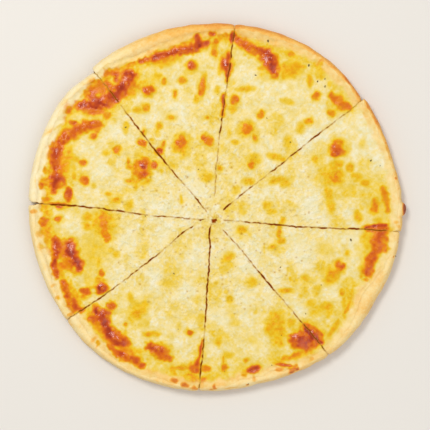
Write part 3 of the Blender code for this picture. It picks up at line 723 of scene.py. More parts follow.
def rim_relief(plan, out, across):
    """Fine relief of the bare rim, which rounds over into the cuts."""
    x, y = plan.point(out, across)
    bare = smooth_step(0.0, BARE_BLEND, out - (plan.round_rim(across) - plan.bare_width(across)))
    turned = np.clip(1 - plan.from_cut(out, across) / RIM_FILLET, 0, 1)
    return bare * (uneven("rim_crumbs", x, y) - RIM_FILLET_DROP * (1 - half_circle(turned)))


def dough_bottom(inset):
    """Height of the dough's underside: flat, and rounded up to the rim's widest line."""
    turned = np.clip((UNDER_ROUND - inset) / UNDER_ROUND, 0, 1)
    return RIM_WAIST * (1 - np.sqrt(1 - turned**2))


def in_oval(x, y, cx, cy, length, width, turn):
    """How far out a place is in a turned oval, from 0 at its middle to 1 at its edge."""
    c, s = math.cos(math.radians(turn)), math.sin(math.radians(turn))
    dx, dy = x - cx, y - cy
    return 2 * np.hypot((c * dx + s * dy) / length, (c * dy - s * dx) / width)


def cheese_relief(x, y):
    """Large bumps of the melted cheese, with its blisters."""
    height = uneven("cheese_top", x, y)
    for cx, cy, length, width, turn, rise in BLISTERS:
        off = in_oval(x / MM, y / MM, cx, cy, length, width, turn)
        height += rise * MM * np.clip(1 - off**2, 0, 1)
    return height


class PlanMap:
    """Numbers on a fine square grid over the pizza, read smoothly at any place."""

    def __init__(self):
        self.places = np.arange(-MAP_REACH, MAP_REACH, MAP_STEP)
        self.cells = np.zeros((len(self.places), len(self.places)))

    def near(self, x, y, reach):
        """The cells near a place, which can be changed, with their x and y."""
        i0, i1 = np.searchsorted(self.places, (x - reach, x + reach))
        j0, j1 = np.searchsorted(self.places, (y - reach, y + reach))
        return self.cells[i0:i1, j0:j1], self.places[i0:i1, None], self.places[None, j0:j1]

    def read(self, x, y):
        u = np.clip((x + MAP_REACH) / MAP_STEP, 0, len(self.places) - 1.001)
        v = np.clip((y + MAP_REACH) / MAP_STEP, 0, len(self.places) - 1.001)
        i, j = u.astype(int), v.astype(int)
        s, t = u - i, v - j
        low = self.cells[i, j] * (1 - s) + self.cells[i + 1, j] * s
        high = self.cells[i, j + 1] * (1 - s) + self.cells[i + 1, j + 1] * s
        return low * (1 - t) + high * t


def along_patch(x, y, points):
    """How far out a place is from a long patch, from 0 on its middle line to 1 at its edge."""
    nearest = np.full(np.broadcast(x, y).shape, np.inf)
    for (ax, ay, a_width), (bx, by, b_width) in zip(points, points[1:]):
        dx, dy = bx - ax, by - ay
        share = np.clip(((x - ax) * dx + (y - ay) * dy) / (dx * dx + dy * dy), 0, 1)
        away = np.hypot(x - ax - share * dx, y - ay - share * dy)
        nearest = np.minimum(nearest, 2 * away / (a_width + (b_width - a_width) * share))
    return nearest


def browning_map():
    """How browned the cheese is: patches and spots with soft, ragged edges, and fainter halos
    that run into each other."""
    cores, halos, edges = PlanMap(), PlanMap(), PlanMap()
    grid = np.meshgrid(cores.places, cores.places, indexing="ij")
    edges.cells = uneven("spot_edges", *grid)

    def add(kind, level, where, ragged, off, off_halo):
        core, halo = cores.near(*where)[0], halos.near(*where)[0]
        browned = level * smooth_step(*CORE_FADES[kind], off + ragged) ** CORE_CURVE
        np.maximum(core, browned, out=core)
        halo += (level * faded(*HALO_FADES[kind], off_halo + ragged)) ** 3

    for level, points in PATCHES:
        low, high = np.min(points, axis=0), np.max(points, axis=0)
        where = (*((low + high)[:2] / 2 * MM), (max(high - low) / 2 + high[2] + SPOT_HALO) * MM)
        ragged, px, py = edges.near(*where)
        wider = [(x, y, width + SPOT_HALO) for x, y, width in points]
        offs = (along_patch(px / MM, py / MM, line) for line in (points, wider))
        add("patch", level, where, ragged, *offs)
    for x, y, length, width, turn, level in SPOTS:
        where = (x * MM, y * MM, 0.9 * (length + SPOT_HALO) * MM)
        ragged, px, py = edges.near(*where)
        ragged = SPOT_RAGGED[0] * ragged + SPOT_RAGGED[1]
        sizes = ((length, width), (length + SPOT_HALO, width + SPOT_HALO))
        offs = (in_oval(px / MM, py / MM, x, y, *size, turn) for size in sizes)
        add("faint spot" if level < FAINT_SPOT else "spot", level, where, ragged, *offs)
    cores.cells = np.maximum(cores.cells, np.cbrt(halos.cells)) * (1 + uneven("mottling", *grid))
    return cores


def shred_map():
    """Half melted shreds of cheese that lie across each other, from 0 to their height."""
    made, draw = PlanMap(), np.random.RandomState(7)
    for _ in range(SHRED_COUNT):
        away, bearing, turn = SHRED_REACH * math.sqrt(draw.rand()), draw.rand() * 7, draw.rand() * 7
        length, width, height = (draw.uniform(*limits) for limits in SHRED_SIZES)
        bend = draw.uniform(-SHRED_BEND, SHRED_BEND)
        cx, cy = away * math.cos(bearing), away * math.sin(bearing)
        cells, px, py = made.near(cx, cy, (length + width) / 2)
        along = (px - cx) * math.cos(turn) + (py - cy) * math.sin(turn)
        across = (py - cy) * math.cos(turn) - (px - cx) * math.sin(turn) - bend * along**2
        beyond = np.clip(np.abs(along) - (length - width) / 2, 0, None)
        np.maximum(cells, height * half_circle(np.hypot(beyond, across) / (width / 2)), out=cells)
    return made


def pit_and_shade_map():
    """Small pits between the shreds, most of them near the hub, darkened with painted shade."""
    made, draw = PlanMap(), np.random.RandomState(10)
    for _ in range(PIT_COUNT):
        away, bearing = PIT_REACH * draw.rand() ** 1.2, draw.rand() * 2 * math.pi
        radius, level = (draw.uniform(*limits) for limits in PIT_SIZES)
        cx = HUB[0] * MM + away * math.cos(bearing)
        cy = HUB[1] * MM + away * math.sin(bearing)
        cells, px, py = made.near(cx, cy, 2 * radius)
        off = np.hypot(px - cx, (py - cy) * draw.uniform(*PIT_STRETCH)) / radius
        np.maximum(cells, level * smooth_step(*PIT_FADE, off), out=cells)
    return made


def bubble_map(browning):
    """Small baked bubbles, on the browned cheese only."""
    made, draw = PlanMap(), np.random.RandomState(8)
    for _ in range(BUBBLE_COUNT):
        away, bearing = BUBBLE_REACH * math.sqrt(draw.rand()), draw.rand() * 2 * math.pi
        radius, height = (draw.uniform(*limits) for limits in BUBBLE_SIZES)
        cx, cy = away * math.cos(bearing), away * math.sin(bearing)
        browned = float(browning.read(np.array(cx), np.array(cy)))
        height *= float(smooth_step(*BUBBLE_BROWNING, browned))
        cells, px, py = made.near(cx, cy, radius)
        np.maximum(cells, height * half_circle(np.hypot(px - cx, py - cy) / radius), out=cells)
    return made


def toast_and_light(x, y, edge_share):
    """How toasted the rim is, from its outer edge (share 1) to its inner side (share 0); the table
    round the rim also paints light and shade into it.
    """
    bearing = (np.degrees(np.arctan2(y, x)) + 30) % 360 - 30
    at, outer, inner = np.array(RIM_TOAST_AND_LIGHT).T
    outer, inner = np.interp(bearing, at, outer), np.interp(bearing, at, inner)
    level = inner + (outer - inner) * smooth_step(*TOAST_TURN, edge_share)
    away = np.hypot(x, y) / MM
    wobble = uneven("streak_edges", x, y)
    for degrees, distance, along, across, streak in RIM_STREAKS:
        off_along = (bearing - degrees + 180) % 360 - 180
        off = 2 * np.hypot(np.radians(off_along) * distance / along, (away - distance) / across)
        level = np.maximum(level, streak * smooth_step(*STREAK_FADE, off + wobble))
    return level + uneven("toast_and_light", x, y)


def lattice(rows):
    """A wedge cut into rows of small triangles: each vertex's row and its share across
    that row, and the triangles, which face up."""
    row = np.repeat(np.arange(rows + 1), np.arange(1, rows + 2))
    column = np.arange(len(row)) - row * (row + 1) // 2
    lead = np.flatnonzero(row < rows)
    under = lead + row[lead] + 1
    outward = np.stack([lead, under, under + 1], axis=1)
    lead = lead[column[lead] < row[lead]]
    under = lead + row[lead] + 1
    inward = np.stack([lead, under + 1, lead + 1], axis=1)
    return row, column / np.maximum(row, 1), np.concatenate([outward, inward])


def lattice_border(rows):
    """The vertices round a lattice: out along the first side, across, and back."""
    k = np.arange(rows + 1)
    start = k * (k + 1) // 2
    return np.concatenate([start[:-1], start[-1] + k[:-1], (start + k)[:0:-1]])


def widened_ends(across, amount):
    """Shares across a slice, moved so that they lie closer together near its cuts."""
    return across - amount * np.sin(2 * math.pi * across)


def add_numbers(mesh, name, values):
    layer = mesh.attributes.new(name, "FLOAT", "POINT")
    layer.data.foreach_set("value", np.asarray(values, dtype=np.float32))


def add_mesh(name, vertices, faces, materials, numbers):
    """A smooth mesh object with numbers at its vertices."""
    mesh = bpy.data.meshes.new(name)
    mesh.from_pydata(vertices.tolist(), [], faces)
    for material in materials:
        mesh.materials.append(material)
    for key, values in numbers.items():
        add_numbers(mesh, key, values)
    mesh.shade_smooth()
    mesh.set_sharp_from_angle(angle=SHARP_ANGLE)
    piece = bpy.data.objects.new(name, mesh)
    bpy.context.scene.collection.objects.link(piece)
    return piece


def cheese_form(plan, out, across, edge):
    """Heights of the cheese's underside and of its top before its fine relief, and how
    full its thickness is."""
    full = np.clip((edge - out) / CHEESE_TAPER, 0, 1)
    full = full * (2 - full)
    bottom = dough_top(plan, out, across) + rim_relief(plan, out, across) + LAYER_SEAM
    x, y = plan.point(out, across)
    relief = cheese_relief(x, y) * (LARGE_RELIEF + (1 - LARGE_RELIEF) * full)
    level = DOUGH_BED + CHEESE_THICK + LAYER_GAP + relief
    room = level - bottom
    inside, at_edge = CHEESE_BLEND
    thick = (room + np.hypot(room, at_edge + (inside - at_edge) * full)) / 2
    return bottom, thick * smooth_step(-CHEESE_CREEP, 0.0, edge - out), full


class CheeseLook:
    """Fine relief, browning and stains of the cheese at places in plan, with painted light and shade:
    painted shade in the pits and cuts, painted light on the tops of shreds and bubbles, and painted
    highlights of wet sheen.
    """

    def __init__(self, maps, x, y):
        browning, shreds, bubbles, pits_and_shade = maps
        from_middle = np.hypot(x, y)
        self.browned = browning.read(x, y)
        # painted shade in the pits between the shreds; the same number also sinks them
        self.pit_and_shade = pits_and_shade.read(x, y)
        bubble, shred = bubbles.read(x, y), shreds.read(x, y)
        melted = 1 - faded(*SHREDS_MELT, from_middle)
        self.fine = shred * melted * (1 - faded(*SHREDS_BROWN, self.browned))
        self.fine = self.fine + bubble + faded(*BROWNED_RISE, self.browned)
        self.fine = self.fine + melted * uneven("melt", x, y) - PIT_DEPTH * self.pit_and_shade
        patch = uneven("yellow", x, y)
        ground = PALE_CHEESE + uneven("ground", x, y) + faded(*YELLOW_FADE, patch)
        # paler places: cheese that stayed pale, and painted highlights of wet sheen
        for pale_x, pale_y, size in PALE_AND_SHEEN_PLACES:
            off = np.hypot(x / MM - pale_x, y / MM - pale_y) * 2 / size
            ground = ground * (1 - faded(*PALE_FADE, off + PALE_RAGGED * patch))
        # painted light on the tops of the shreds; the hollows between them turn more golden, partly
        # oil and partly painted shade
        paler, even = SHRED_LIGHT_AND_SHADE
        ground = ground - paler * (shred / SHRED_SIZES[2][1] - even)
        self.ground = ground + faded(*OUTER_GOLD, from_middle)
        # random grain, and painted highlights that make the tops of the baked bubbles paler
        self.grain_and_highlight = uneven("grain_and_highlight", x, y) - BUBBLE_HIGHLIGHT * bubble / BUBBLE_SIZES[1][1]

    def bake(self, more=0.0):
        """How browned the cheese looks, where it is more golden by a given amount."""
        ground = np.clip(self.ground + more, 0, 1)
        return np.clip(np.maximum(ground, self.browned) + self.grain_and_highlight, 0, 1)

    def dark(self, shown):
        """How dark a cut is here, which is also dark where it runs through browned cheese."""
        return np.maximum(shown, smooth_step(*CUT_DARK_BROWNING, self.browned))


def make_cheese(number, plan, maps, materials):
    """The melted cheese of a slice, with its shreds, bubbles and browning."""
    row, across, top_faces = lattice(CHEESE_ROWS)
    across = widened_ends(across, CHEESE_CROWDING)
    edge = plan.cheese_out(across)
    out = (edge + CHEESE_CREEP) * row / CHEESE_ROWS
    x, y = plan.point(out, across)
    bottom, thick, full = cheese_form(plan, out, across, edge)
    near_cut = plan.from_cut(out, across)
    look = CheeseLook(maps, x, y)
    first, second = (cut_shows(name, x, y) for name in plan.cuts)
    shown = np.where(across < 0.5, first, second)
    turned = np.clip(1 - near_cut / CUT_FILLET, 0, 1)
    fine = look.fine - CUT_SINK * shown * (1 - half_circle(turned))
    thick = thick + fine * (SMALL_RELIEF + (1 - SMALL_RELIEF) * full)
    top = bottom + np.maximum(thick, THINNEST_CHEESE)

    golden = np.interp(np.degrees(np.arctan2(y, x)), *np.array(EDGE_GOLD).T, period=360)
    golden = golden * (1 + uneven("edge_gold", x, y))
    bake = look.bake(golden * smooth_step(*GOLD_BAND, edge - out))
    # dark colour beside the cuts, baked juice with the painted shade of the gap, and painted shade in
    # the pits
    stain_and_shade = np.maximum(look.dark(shown) * np.exp(-((near_cut / CUT_DARK_REACH) ** 2)), look.pit_and_shade)
    width, start = BORDER_BLEND
    rim_side = 1 - np.clip((edge - out) / width + start + uneven("cheese_border", x, y), 0, 1)
    rim_side = rim_side * (1 - smooth_step(*BORDER_BROWNING, look.browned))

    under_rows = CHEESE_ROWS // UNDER_SHARE
    under_row, under_across, under_faces = lattice(under_rows)
    under_across = widened_ends(under_across, CHEESE_CROWDING)
    under_edge = plan.cheese_out(under_across)
    under_out = (under_edge + CHEESE_CREEP) * under_row / under_rows
    under_x, under_y = plan.point(under_out, under_across)
    under_z = cheese_form(plan, under_out, under_across, under_edge)[0]
    count = len(x)
    low, high = lattice_border(under_rows) + count, lattice_border(CHEESE_ROWS)
    walls = []
    for i in range(len(low)):
        uppers = [int(high[(i * UNDER_SHARE + k) % len(high)]) for k in range(UNDER_SHARE, -1, -1)]
        walls.append([int(low[i]), int(low[(i + 1) % len(low)]), *uppers])
    vertices = np.concatenate([
        np.stack([x, y, top], axis=1),
        np.stack([under_x, under_y, under_z], axis=1),
    ])
    faces = top_faces.tolist() + (under_faces[:, ::-1] + count).tolist() + walls
    rest = np.zeros(len(under_x))
    numbers = {
        "bake": np.concatenate([bake, rest + 0.5]),
        "rim_side": np.concatenate([rim_side, rest]),
        "stain_and_shade": np.concatenate([stain_and_shade, rest + 0.4]),
        "toast_and_light": np.concatenate([toast_and_light(x, y, np.zeros(count)), rest + 0.3]),
    }
    piece = add_mesh(f"cheese_look_{number}", vertices, faces, [materials["cheese"]], numbers)
    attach(piece, "root")
    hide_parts(f"cheese_{number}")
    return vertices[:count]


def grid_faces(index):
    """Quads of a grid of vertices, facing up where rows run out and columns to the left."""
    corners = (index[:-1, :-1], index[1:, :-1], index[1:, 1:], index[:-1, 1:])
    return np.stack([corner.ravel() for corner in corners], axis=1)


def unrolled(x, y, z):
    """Places on the rim's wall, laid out flat round the pizza, so that what is drawn there
    doesn't run straight down."""
    spread = 1 + np.clip(RIM_HEIGHT - z, 0, None) / np.maximum(np.hypot(x, y), WALL_FROM)
    return x * spread, y * spread


def uneven_wall(x, y, z, inset):
    """Points of the dough, with the rim's wall made a little uneven."""
    u, v = unrolled(x, y, z)
    push = uneven("rim_wall", u, v) * smooth_step(*WALL_BAND, inset)
    push = 1 + push / np.maximum(np.hypot(x, y), WALL_FROM)
    return np.stack([x * push, y * push, z], axis=1)


def make_dough(number, plan, browning, materials):
    """The dough of a slice: flat bed, and the rim rounded over and under."""
    on_bed, on_rim = DOUGH_ROWS
    rows = on_bed + on_rim
    row, across = np.mgrid[0 : rows + 1, 0 : DOUGH_COLUMNS + 1]
    across = widened_ends(across / DOUGH_COLUMNS, DOUGH_CROWDING).ravel()
    row = row.ravel()
    rim = plan.rim_out(across)
    bare_start = plan.round_rim(across) - plan.bare_width(across)
    bed_end = bare_start - RIM_FOOT
    bed_share = np.clip(row / on_bed, 0, 1)
    rim_share = np.clip((row - on_bed) / on_rim, 0, 1)
    out = DOUGH_TIP + (bed_end - DOUGH_TIP) * bed_share
    out += (rim - bed_end) * np.sin(rim_share * math.pi / 2)
    x, y = plan.point(out, across)
    bottom = dough_bottom(rim - out)
    lift = rim_relief(plan, out, across) * np.sqrt(np.clip(1 - rim_share**6, 0, 1))
    top = np.where(rim_share < 1, np.maximum(dough_top(plan, out, across) + lift, bottom), bottom)

    bare_share = 1 - (rim - out) / plan.bare_width(across)
    # toast round the rim, with its painted light and shade
    toasted_and_lit = toast_and_light(*unrolled(x, y, top), bare_share) + faded(*WALL_TOAST, top)
    toasted_and_lit = np.maximum(toasted_and_lit, BROWNED_TOAST * browning.read(x, y))
    beside = (np.arctan2(y, x) - DRIP_ANGLE) * DRIP_DISTANCE / (DRIP_SIZE[0] / 2)
    drip = smooth_step(*DRIP_FADE, np.hypot(beside, (rim - out) / DRIP_BAND))
    toasted_and_lit = np.maximum(toasted_and_lit, (DRIP_TOAST + uneven("drip", x, y)) * drip)
    burnt = UNDER_TOAST + uneven("burnt", x, y)
    burnt = burnt + (toasted_and_lit - burnt) * smooth_step(0.0, 0.9 * RIM_WAIST, bottom)

    count = len(x)
    top_index = np.arange(count).reshape(rows + 1, DOUGH_COLUMNS + 1)
    low_index = top_index + count
    low_index[-1] = top_index[-1]
    top_faces = grid_faces(top_index)
    low_faces = grid_faces(low_index)[:, ::-1]
    walls = []
    for k in range(rows - 1):
        first = [low_index[k, 0], low_index[k + 1, 0], top_index[k + 1, 0], top_index[k, 0]]
        second = [low_index[k, -1], low_index[k + 1, -1], top_index[k + 1, -1], top_index[k, -1]]
        walls += [first, second[::-1]]
    first = [low_index[-2, 0], top_index[-1, 0], top_index[-2, 0]]
    second = [low_index[-2, -1], top_index[-1, -1], top_index[-2, -1]]
    walls += [first, second[::-1]]
    front = [top_index[0, :-1], top_index[0, 1:], low_index[0, 1:], low_index[0, :-1]]
    front = np.stack(front, axis=1)
    shell = np.concatenate([top_faces, low_faces]).tolist()
    cut = [[int(i) for i in wall] for wall in walls] + front.tolist()
    inner_rows = (DOUGH_COLUMNS + 1) * rows
    vertices = np.concatenate([
        uneven_wall(x, y, top, rim - out),
        uneven_wall(x, y, bottom, rim - out)[:inner_rows],
    ])
    numbers = {"toast_and_light": np.clip(np.concatenate([toasted_and_lit, burnt[:inner_rows]]), 0, 1)}
    layers = [materials["crust"], materials["crumb"]]
    piece = add_mesh(f"dough_look_{number}", vertices, shell + cut, layers, numbers)
    slots = np.zeros(len(shell) + len(cut), dtype=np.int32)
    slots[len(shell):] = 1
    piece.data.polygons.foreach_set("material_index", slots)
    piece.data.update()
    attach(piece, "root")
    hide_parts(f"dough_{number}")
    return vertices[:count][out > bare_start]


def make_cut_fillings(surface, maps, materials):
    """What fills the knife cuts: a dark filling a little below the cheese, which is baked juice with
    the shade of the gap painted into it, or cheese that melted over the cut, by how dark the cut
    shows."""
    vertices, faces, bakes, stains_and_shade = [], [], [], []
    for name in CUTS:
        line, left, width = cut_line(name)
        from_hub = np.hypot(*(line - np.array(HUB) * MM).T)
        from_end = np.hypot(*(line - line[-1]).T)
        kept = (from_hub > FILLING_START) & (from_end > FILLING_STOPS.get(name, FILLING_STOP))
        line, left, width = line[kept], left[kept], width[kept]
        shows = cut_shows(name, *line.T)
        melted = smooth_step(*MELTED_SHOWS, shows)
        reach = np.minimum(width, CUT_WIDTHS[1]) / 2 + FILLING_OVERLAP + MELT_REACH * melted
        top = heights_near(surface, line) + MELT_RISE * melted - CUT_DEPTH * (1 - melted) * shows
        low, edge = np.full(len(line), DOUGH_BED + FILLING_FOOT), top - MELT_ROUND * melted
        rows = [(-1, low), (-1, edge), (-0.5, top), (0.5, top), (1, edge), (1, low)]
        start = len(vertices)
        ring = [np.column_stack([line + left * (side * reach)[:, None], z]) for side, z in rows]
        vertices += np.stack(ring, axis=1).reshape(-1, 3).tolist()
        look = CheeseLook(maps, *line.T)
        bakes += np.repeat(look.bake(), len(rows)).tolist()
        # the filling's dark colour: baked juice, with the gap's shade painted into it
        stains_and_shade += np.repeat(look.dark(shows * (1 - melted)), len(rows)).tolist()
        for k in range(len(line) - 1):
            a, b = start + len(rows) * k, start + len(rows) * (k + 1)
            for i in range(len(rows)):
                j = (i + 1) % len(rows)
                faces.append([a + i, a + j, b + j, b + i])
        last = start + len(rows) * (len(line) - 1)
        faces.append(list(range(start, start + len(rows)))[::-1])
        faces.append(list(range(last, last + len(rows))))
    zeros = np.zeros(len(vertices))
    numbers = {"bake": bakes, "stain_and_shade": stains_and_shade, "rim_side": zeros, "toast_and_light": zeros}
    piece = add_mesh("cut_fillings", np.array(vertices), faces, [materials["cheese"]], numbers)
    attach(piece, "root")


def make_hub_melt(maps, materials):
    """Cheese that melted together over the place where the cuts meet."""
    hub_x, hub_y, radius = HUB_MELT
    rings, spokes = HUB_RINGS, HUB_SPOKES
    rise, drop, skirt = HUB_LAYERS
    ring, spoke = np.mgrid[1 : rings + 1, 0:spokes]
    share, bearing = ring.ravel() / rings, spoke.ravel() * 2 * math.pi / spokes
    share, bearing = np.append(share, 0.0), np.append(bearing, 0.0)
    ragged = 1 + uneven("hub_edge", np.cos(bearing), np.sin(bearing))
    x = hub_x + radius * share * ragged * np.cos(bearing)
    y = hub_y + radius * share * ragged * np.sin(bearing)
    look = CheeseLook(maps, x, y)
    level = DOUGH_BED + CHEESE_THICK + LAYER_GAP
    top = level + cheese_relief(x, y) + look.fine + rise - drop * share**4
    # painted shade in the pits, and the dark places where the cuts meet
    stain_and_shade, ragged = look.pit_and_shade, uneven("hub_dark_edges", x, y)
    for spot_x, spot_y, length, width, turn, dark in HUB_DARK_PLACES:
        off = in_oval(x / MM, y / MM, spot_x, spot_y, length, width, turn)
        stain_and_shade = np.maximum(stain_and_shade, dark * smooth_step(*HUB_DARK_FADE, off + ragged))
    top = top - HUB_DARK_DROP * stain_and_shade
    count, middle = len(x), len(x) - 1
    faces = []
    for k in range(rings - 1):
        for i in range(spokes):
            j = (i + 1) % spokes
            faces.append([k * spokes + i, (k + 1) * spokes + i, (k + 1) * spokes + j, k * spokes + j])
    last = (rings - 1) * spokes
    for i in range(spokes):
        j = (i + 1) % spokes
        faces.append([middle, i, j])
        faces.append([last + i, count + i, count + j, last + j])
    faces.append([count + i for i in range(spokes)][::-1])
    border = np.column_stack([x[last:middle], y[last:middle], np.full(spokes, level - skirt)])
    vertices = np.concatenate([np.column_stack([x, y, top]), border])
    below = np.zeros(spokes)
    numbers = {
        "bake": np.concatenate([look.bake(), below]),
        "stain_and_shade": np.concatenate([stain_and_shade, below]),
        "rim_side": np.zeros(len(vertices)),
        "toast_and_light": np.zeros(len(vertices)),
    }
    piece = add_mesh("hub_melt", vertices, faces, [materials["cheese"]], numbers)
    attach(piece, "root")


def heights_near(surface, places):
    """The cheese's height at each place, from the nearest vertex of its surface."""
    found = []
    for place in places:
        close = surface[np.abs(surface[:, 0] - place[0]) < NEAR]
        close = close[np.abs(close[:, 1] - place[1]) < NEAR]
        if not len(close):
            found.append(DOUGH_BED)
            continue
        found.append(close[np.argmin(np.hypot(*(close[:, :2] - place).T)), 2])
    return np.array(found)


def make_specks(surface, materials):
    """Small flakes of herb and pepper that lie on the cheese and the rim."""
    draw = np.random.RandomState(9)
    rows = [(x * MM, y * MM, length * MM) for x, y, length in SPECKS]
    for _ in range(SPECK_COUNT):
        away, bearing = SPECK_REACH * math.sqrt(draw.rand()), draw.rand() * 2 * math.pi
        length = draw.uniform(*SPECK_SIZES)
        rows.append((away * math.cos(bearing), away * math.sin(bearing), length))
    rows = np.array(rows)
    heights = heights_near(surface, rows[:, :2])
    vertices, faces = [], []
    for (x, y, length), height in zip(rows, heights):
        turn, start = draw.rand() * math.pi, len(vertices)
        lean = draw.uniform(-0.25, 0.25, 2)
        for layer in (SPECK_HALF, -SPECK_HALF):
            for k in range(SPECK_CORNERS):
                around = 2 * math.pi * k / SPECK_CORNERS
                reach = length / 2 * draw.uniform(0.7, 1.1)
                flat_x, flat_y = reach * math.cos(around), 0.5 * reach * math.sin(around)
                dx = flat_x * math.cos(turn) - flat_y * math.sin(turn)
                dy = flat_x * math.sin(turn) + flat_y * math.cos(turn)
                dz = lean[0] * dx + lean[1] * dy + layer
                vertices.append((x + dx, y + dy, height + SPECK_LIFT + dz))
        top = list(range(start, start + SPECK_CORNERS))
        low = [k + SPECK_CORNERS for k in top]
        faces += [top, low[::-1]]
        faces += [list(wall) for wall in zip(top, low, low[1:] + low[:1], top[1:] + top[:1])]
    piece = add_mesh("herb_specks", np.array(vertices), faces, [materials["speck"]], {})
    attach(piece, "root")


class Shading:
    """Builds one procedural material."""

    def __init__(self, name):
        self.material = bpy.data.materials.new(name)
        self.material.use_nodes = True
        self.nodes = self.material.node_tree.nodes
        self.link = self.material.node_tree.links.new
        self.shader = self.nodes["Principled BSDF"]
        self.place = self.nodes.new("ShaderNodeTexCoord").outputs["Object"]

    def node(self, kind, output, inputs, **settings):
        """Adds a node and gives one of its outputs. Its inputs are numbers or other outputs."""
        node = self.nodes.new("ShaderNode" + kind)
        for key, value in settings.items():
            setattr(node, key, value)
        for key, value in inputs.items():
            if isinstance(value, bpy.types.NodeSocket):
                self.link(value, node.inputs[key])
            else:
                node.inputs[key].default_value = value
        return node.outputs[output]

    def noise(self, scale, detail=3.0, roughness=0.55):
        inputs = {"Vector": self.place, "Scale": scale, "Detail": detail, "Roughness": roughness}
        return self.node("TexNoise", "Fac", inputs)

    def number(self, name):
        return self.node("Attribute", "Fac", {}, attribute_name=name)

    def spread(self, value, low, high, to_low, to_high):
        limits = {"From Min": low, "From Max": high, "To Min": to_low, "To Max": to_high}
        return self.node("MapRange", "Result", {"Value": value, **limits})

    def add(self, first, second):
        return self.node("Math", "Value", {0: first, 1: second}, operation="ADD")

    def times(self, first, second):
        return self.node("Math", "Value", {0: first, 1: second}, operation="MULTIPLY")

    def ramp(self, value, stops):
        node = self.nodes.new("ShaderNodeValToRGB")
        self.link(value, node.inputs["Fac"])
        elements = node.color_ramp.elements
        for place, colour in stops[1:-1]:
            elements.new(place).color = linear(colour)
        elements[0].position, elements[0].color = stops[0][0], linear(stops[0][1])
        elements[-1].position, elements[-1].color = stops[-1][0], linear(stops[-1][1])
        return node.outputs["Color"]

    def mix(self, share, first, second, blend="MIX"):
        inputs = {"Factor": share, "A": first, "B": second}
        return self.node("Mix", "Result", inputs, data_type="RGBA", blend_type=blend)

    def bump(self, height, distance, strength, before=None):
        inputs = {"Height": height, "Distance": distance, "Strength": strength}
        if before is not None:
            inputs["Normal"] = before
        return self.node("Bump", "Normal", inputs)

    def finish(self, colour, roughness, normal):
        self.link(colour, self.shader.inputs["Base Color"])
        self.link(roughness, self.shader.inputs["Roughness"])
        self.link(normal, self.shader.inputs["Normal"])
        return self.material


def cheese_material():
    """Melted cheese: cream, gold and brown by its browning, shinier where it is oily."""
    made = Shading("melted_cheese")
    fine = made.spread(made.noise(420), 0.3, 0.7, -0.035, 0.035)
    bake = made.add(made.number("bake"), fine)
    colour = made.ramp(bake, CHEESE_RAMP)
    crust = made.ramp(made.add(made.number("toast_and_light"), fine), CRUST_RAMP)
    colour = made.mix(made.number("rim_side"), colour, crust)
    stain_and_shade = made.number("stain_and_shade")
    dull = made.spread(made.noise(150, 4.0), 0.4, 0.62, 0.0, 1.0)
    colour = made.mix(dull, colour, DIM_TINT, "MULTIPLY")
    # turns the cheese to the dark colours of the cuts and pits: baked juice, with painted shade
    covered = made.spread(stain_and_shade, 0.0, 0.65, 0.0, 1.0)
    colour = made.mix(covered, colour, made.ramp(stain_and_shade, JUICE_AND_SHADE_RAMP))
    oily = made.add(bake, made.spread(made.noise(160), 0.3, 0.7, -0.2, 0.2))
    roughness = made.spread(oily, 0.1, 0.9, 0.5, 0.2)
    rough = made.spread(made.number("bake"), 0.5, 0.8, 1.0, 0.4)
    normal = made.bump(made.times(made.noise(320), rough), 0.0009, 0.6)
    normal = made.bump(made.times(made.noise(800, 4.0), rough), 0.0004, 0.8, normal)
    sheen = made.spread(made.number("bake"), 0.6, 0.9, 0.16, 0.38)
    sheen = made.times(sheen, made.spread(stain_and_shade, 0.1, 0.6, 1.0, 0.1))
    made.link(sheen, made.shader.inputs["Specular IOR Level"])
    return made.finish(colour, roughness, normal)


def crust_material():
    """Baked dough: pale and floury to brown by how toasted it is; round the rim that number also holds
    painted light and shade.
    """
    made = Shading("baked_crust")
    fine = made.spread(made.noise(520, 4.0, 0.65), 0.3, 0.7, -0.06, 0.06)
    colour = made.ramp(made.add(made.number("toast_and_light"), fine), CRUST_RAMP)
    roughness = made.spread(made.noise(240), 0.3, 0.7, 0.62, 0.85)
    normal = made.bump(made.noise(900, 5.0, 0.65), 0.0005, 0.45)
    return made.finish(colour, roughness, made.bump(made.noise(260), 0.0012, 0.3, normal))


def crumb_material():
    """The cut side of the dough, with small pores."""
    made = Shading("dough_crumb")
    pores = made.noise(650, 4.0, 0.7)
    colour = made.ramp(pores, [(0.35, CRUMB_COLOURS[1]), (0.6, CRUMB_COLOURS[0])])
    roughness = made.spread(pores, 0.3, 0.7, 0.7, 0.9)
    return made.finish(colour, roughness, made.bump(pores, 0.0008, 0.6))


def speck_material():
    """Dried herb and pepper."""
    made = Shading("dried_herb")
    tint = made.noise(300, 2.0)
    colour = made.ramp(tint, [(0.4, SPECK_COLOURS[0]), (0.6, SPECK_COLOURS[1])])
    roughness = made.spread(tint, 0.3, 0.7, 0.7, 0.85)
    return made.finish(colour, roughness, made.bump(made.noise(1500), 0.0002, 0.5))


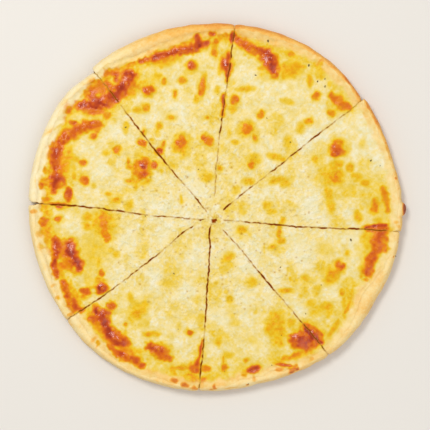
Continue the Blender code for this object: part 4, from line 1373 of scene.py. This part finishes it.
def make_floor():
    bpy.ops.mesh.primitive_plane_add(size=FLOOR_SIZE, location=(0.0, 0.0, -FLOOR_DROP))
    floor = bpy.context.object
    floor.name = "floor"
    made = Shading("pale_floor")
    made.shader.inputs["Base Color"].default_value = linear(FLOOR_COLOUR)
    made.shader.inputs["Roughness"].default_value = 0.9
    floor.data.materials.append(made.material)


def add_light(name, place, size, power, colour):
    lamp = bpy.data.lights.new(name, "AREA")
    lamp.shape = "DISK"
    lamp.size, lamp.energy, lamp.color = size, power, colour
    light = bpy.data.objects.new(name, lamp)
    light.location = place
    aim = -light.location
    light.rotation_euler = aim.to_track_quat("-Z", "Y").to_euler()
    bpy.context.scene.collection.objects.link(light)


def light_scene():
    world = bpy.data.worlds.new("studio")
    world.use_nodes = True
    sky = world.node_tree.nodes["Background"]
    sky.inputs["Color"].default_value = WORLD_COLOUR
    sky.inputs["Strength"].default_value = WORLD_STRENGTH
    scene = bpy.context.scene
    scene.world = world
    scene.view_settings.view_transform = "Standard"
    for light in LIGHTS:
        add_light(*light)


def add_camera():
    lens = bpy.data.cameras.new("camera")
    lens.sensor_width = SENSOR
    lens.lens = SENSOR * (CAMERA_HEIGHT - RIM_HEIGHT) / VIEW_WIDTH
    camera = bpy.data.objects.new("camera", lens)
    camera.location = (*VIEW_MIDDLE, CAMERA_HEIGHT)
    bpy.context.scene.collection.objects.link(camera)
    bpy.context.scene.camera = camera


def main():
    add_camera()
    materials = {
        "cheese": cheese_material(),
        "crust": crust_material(),
        "crumb": crumb_material(),
        "speck": speck_material(),
    }
    browning = browning_map()
    maps = (browning, shred_map(), bubble_map(browning), pit_and_shade_map())
    tops = []
    for number, slice_row in enumerate(SLICES, 1):
        plan = SlicePlan(*slice_row)
        tops.append(make_dough(number, plan, browning, materials))
        tops.append(make_cheese(number, plan, maps, materials))
    surface = np.concatenate(tops)
    make_cut_fillings(surface, maps, materials)
    make_hub_melt(maps, materials)
    make_specks(surface, materials)
    make_floor()
    light_scene()


main()
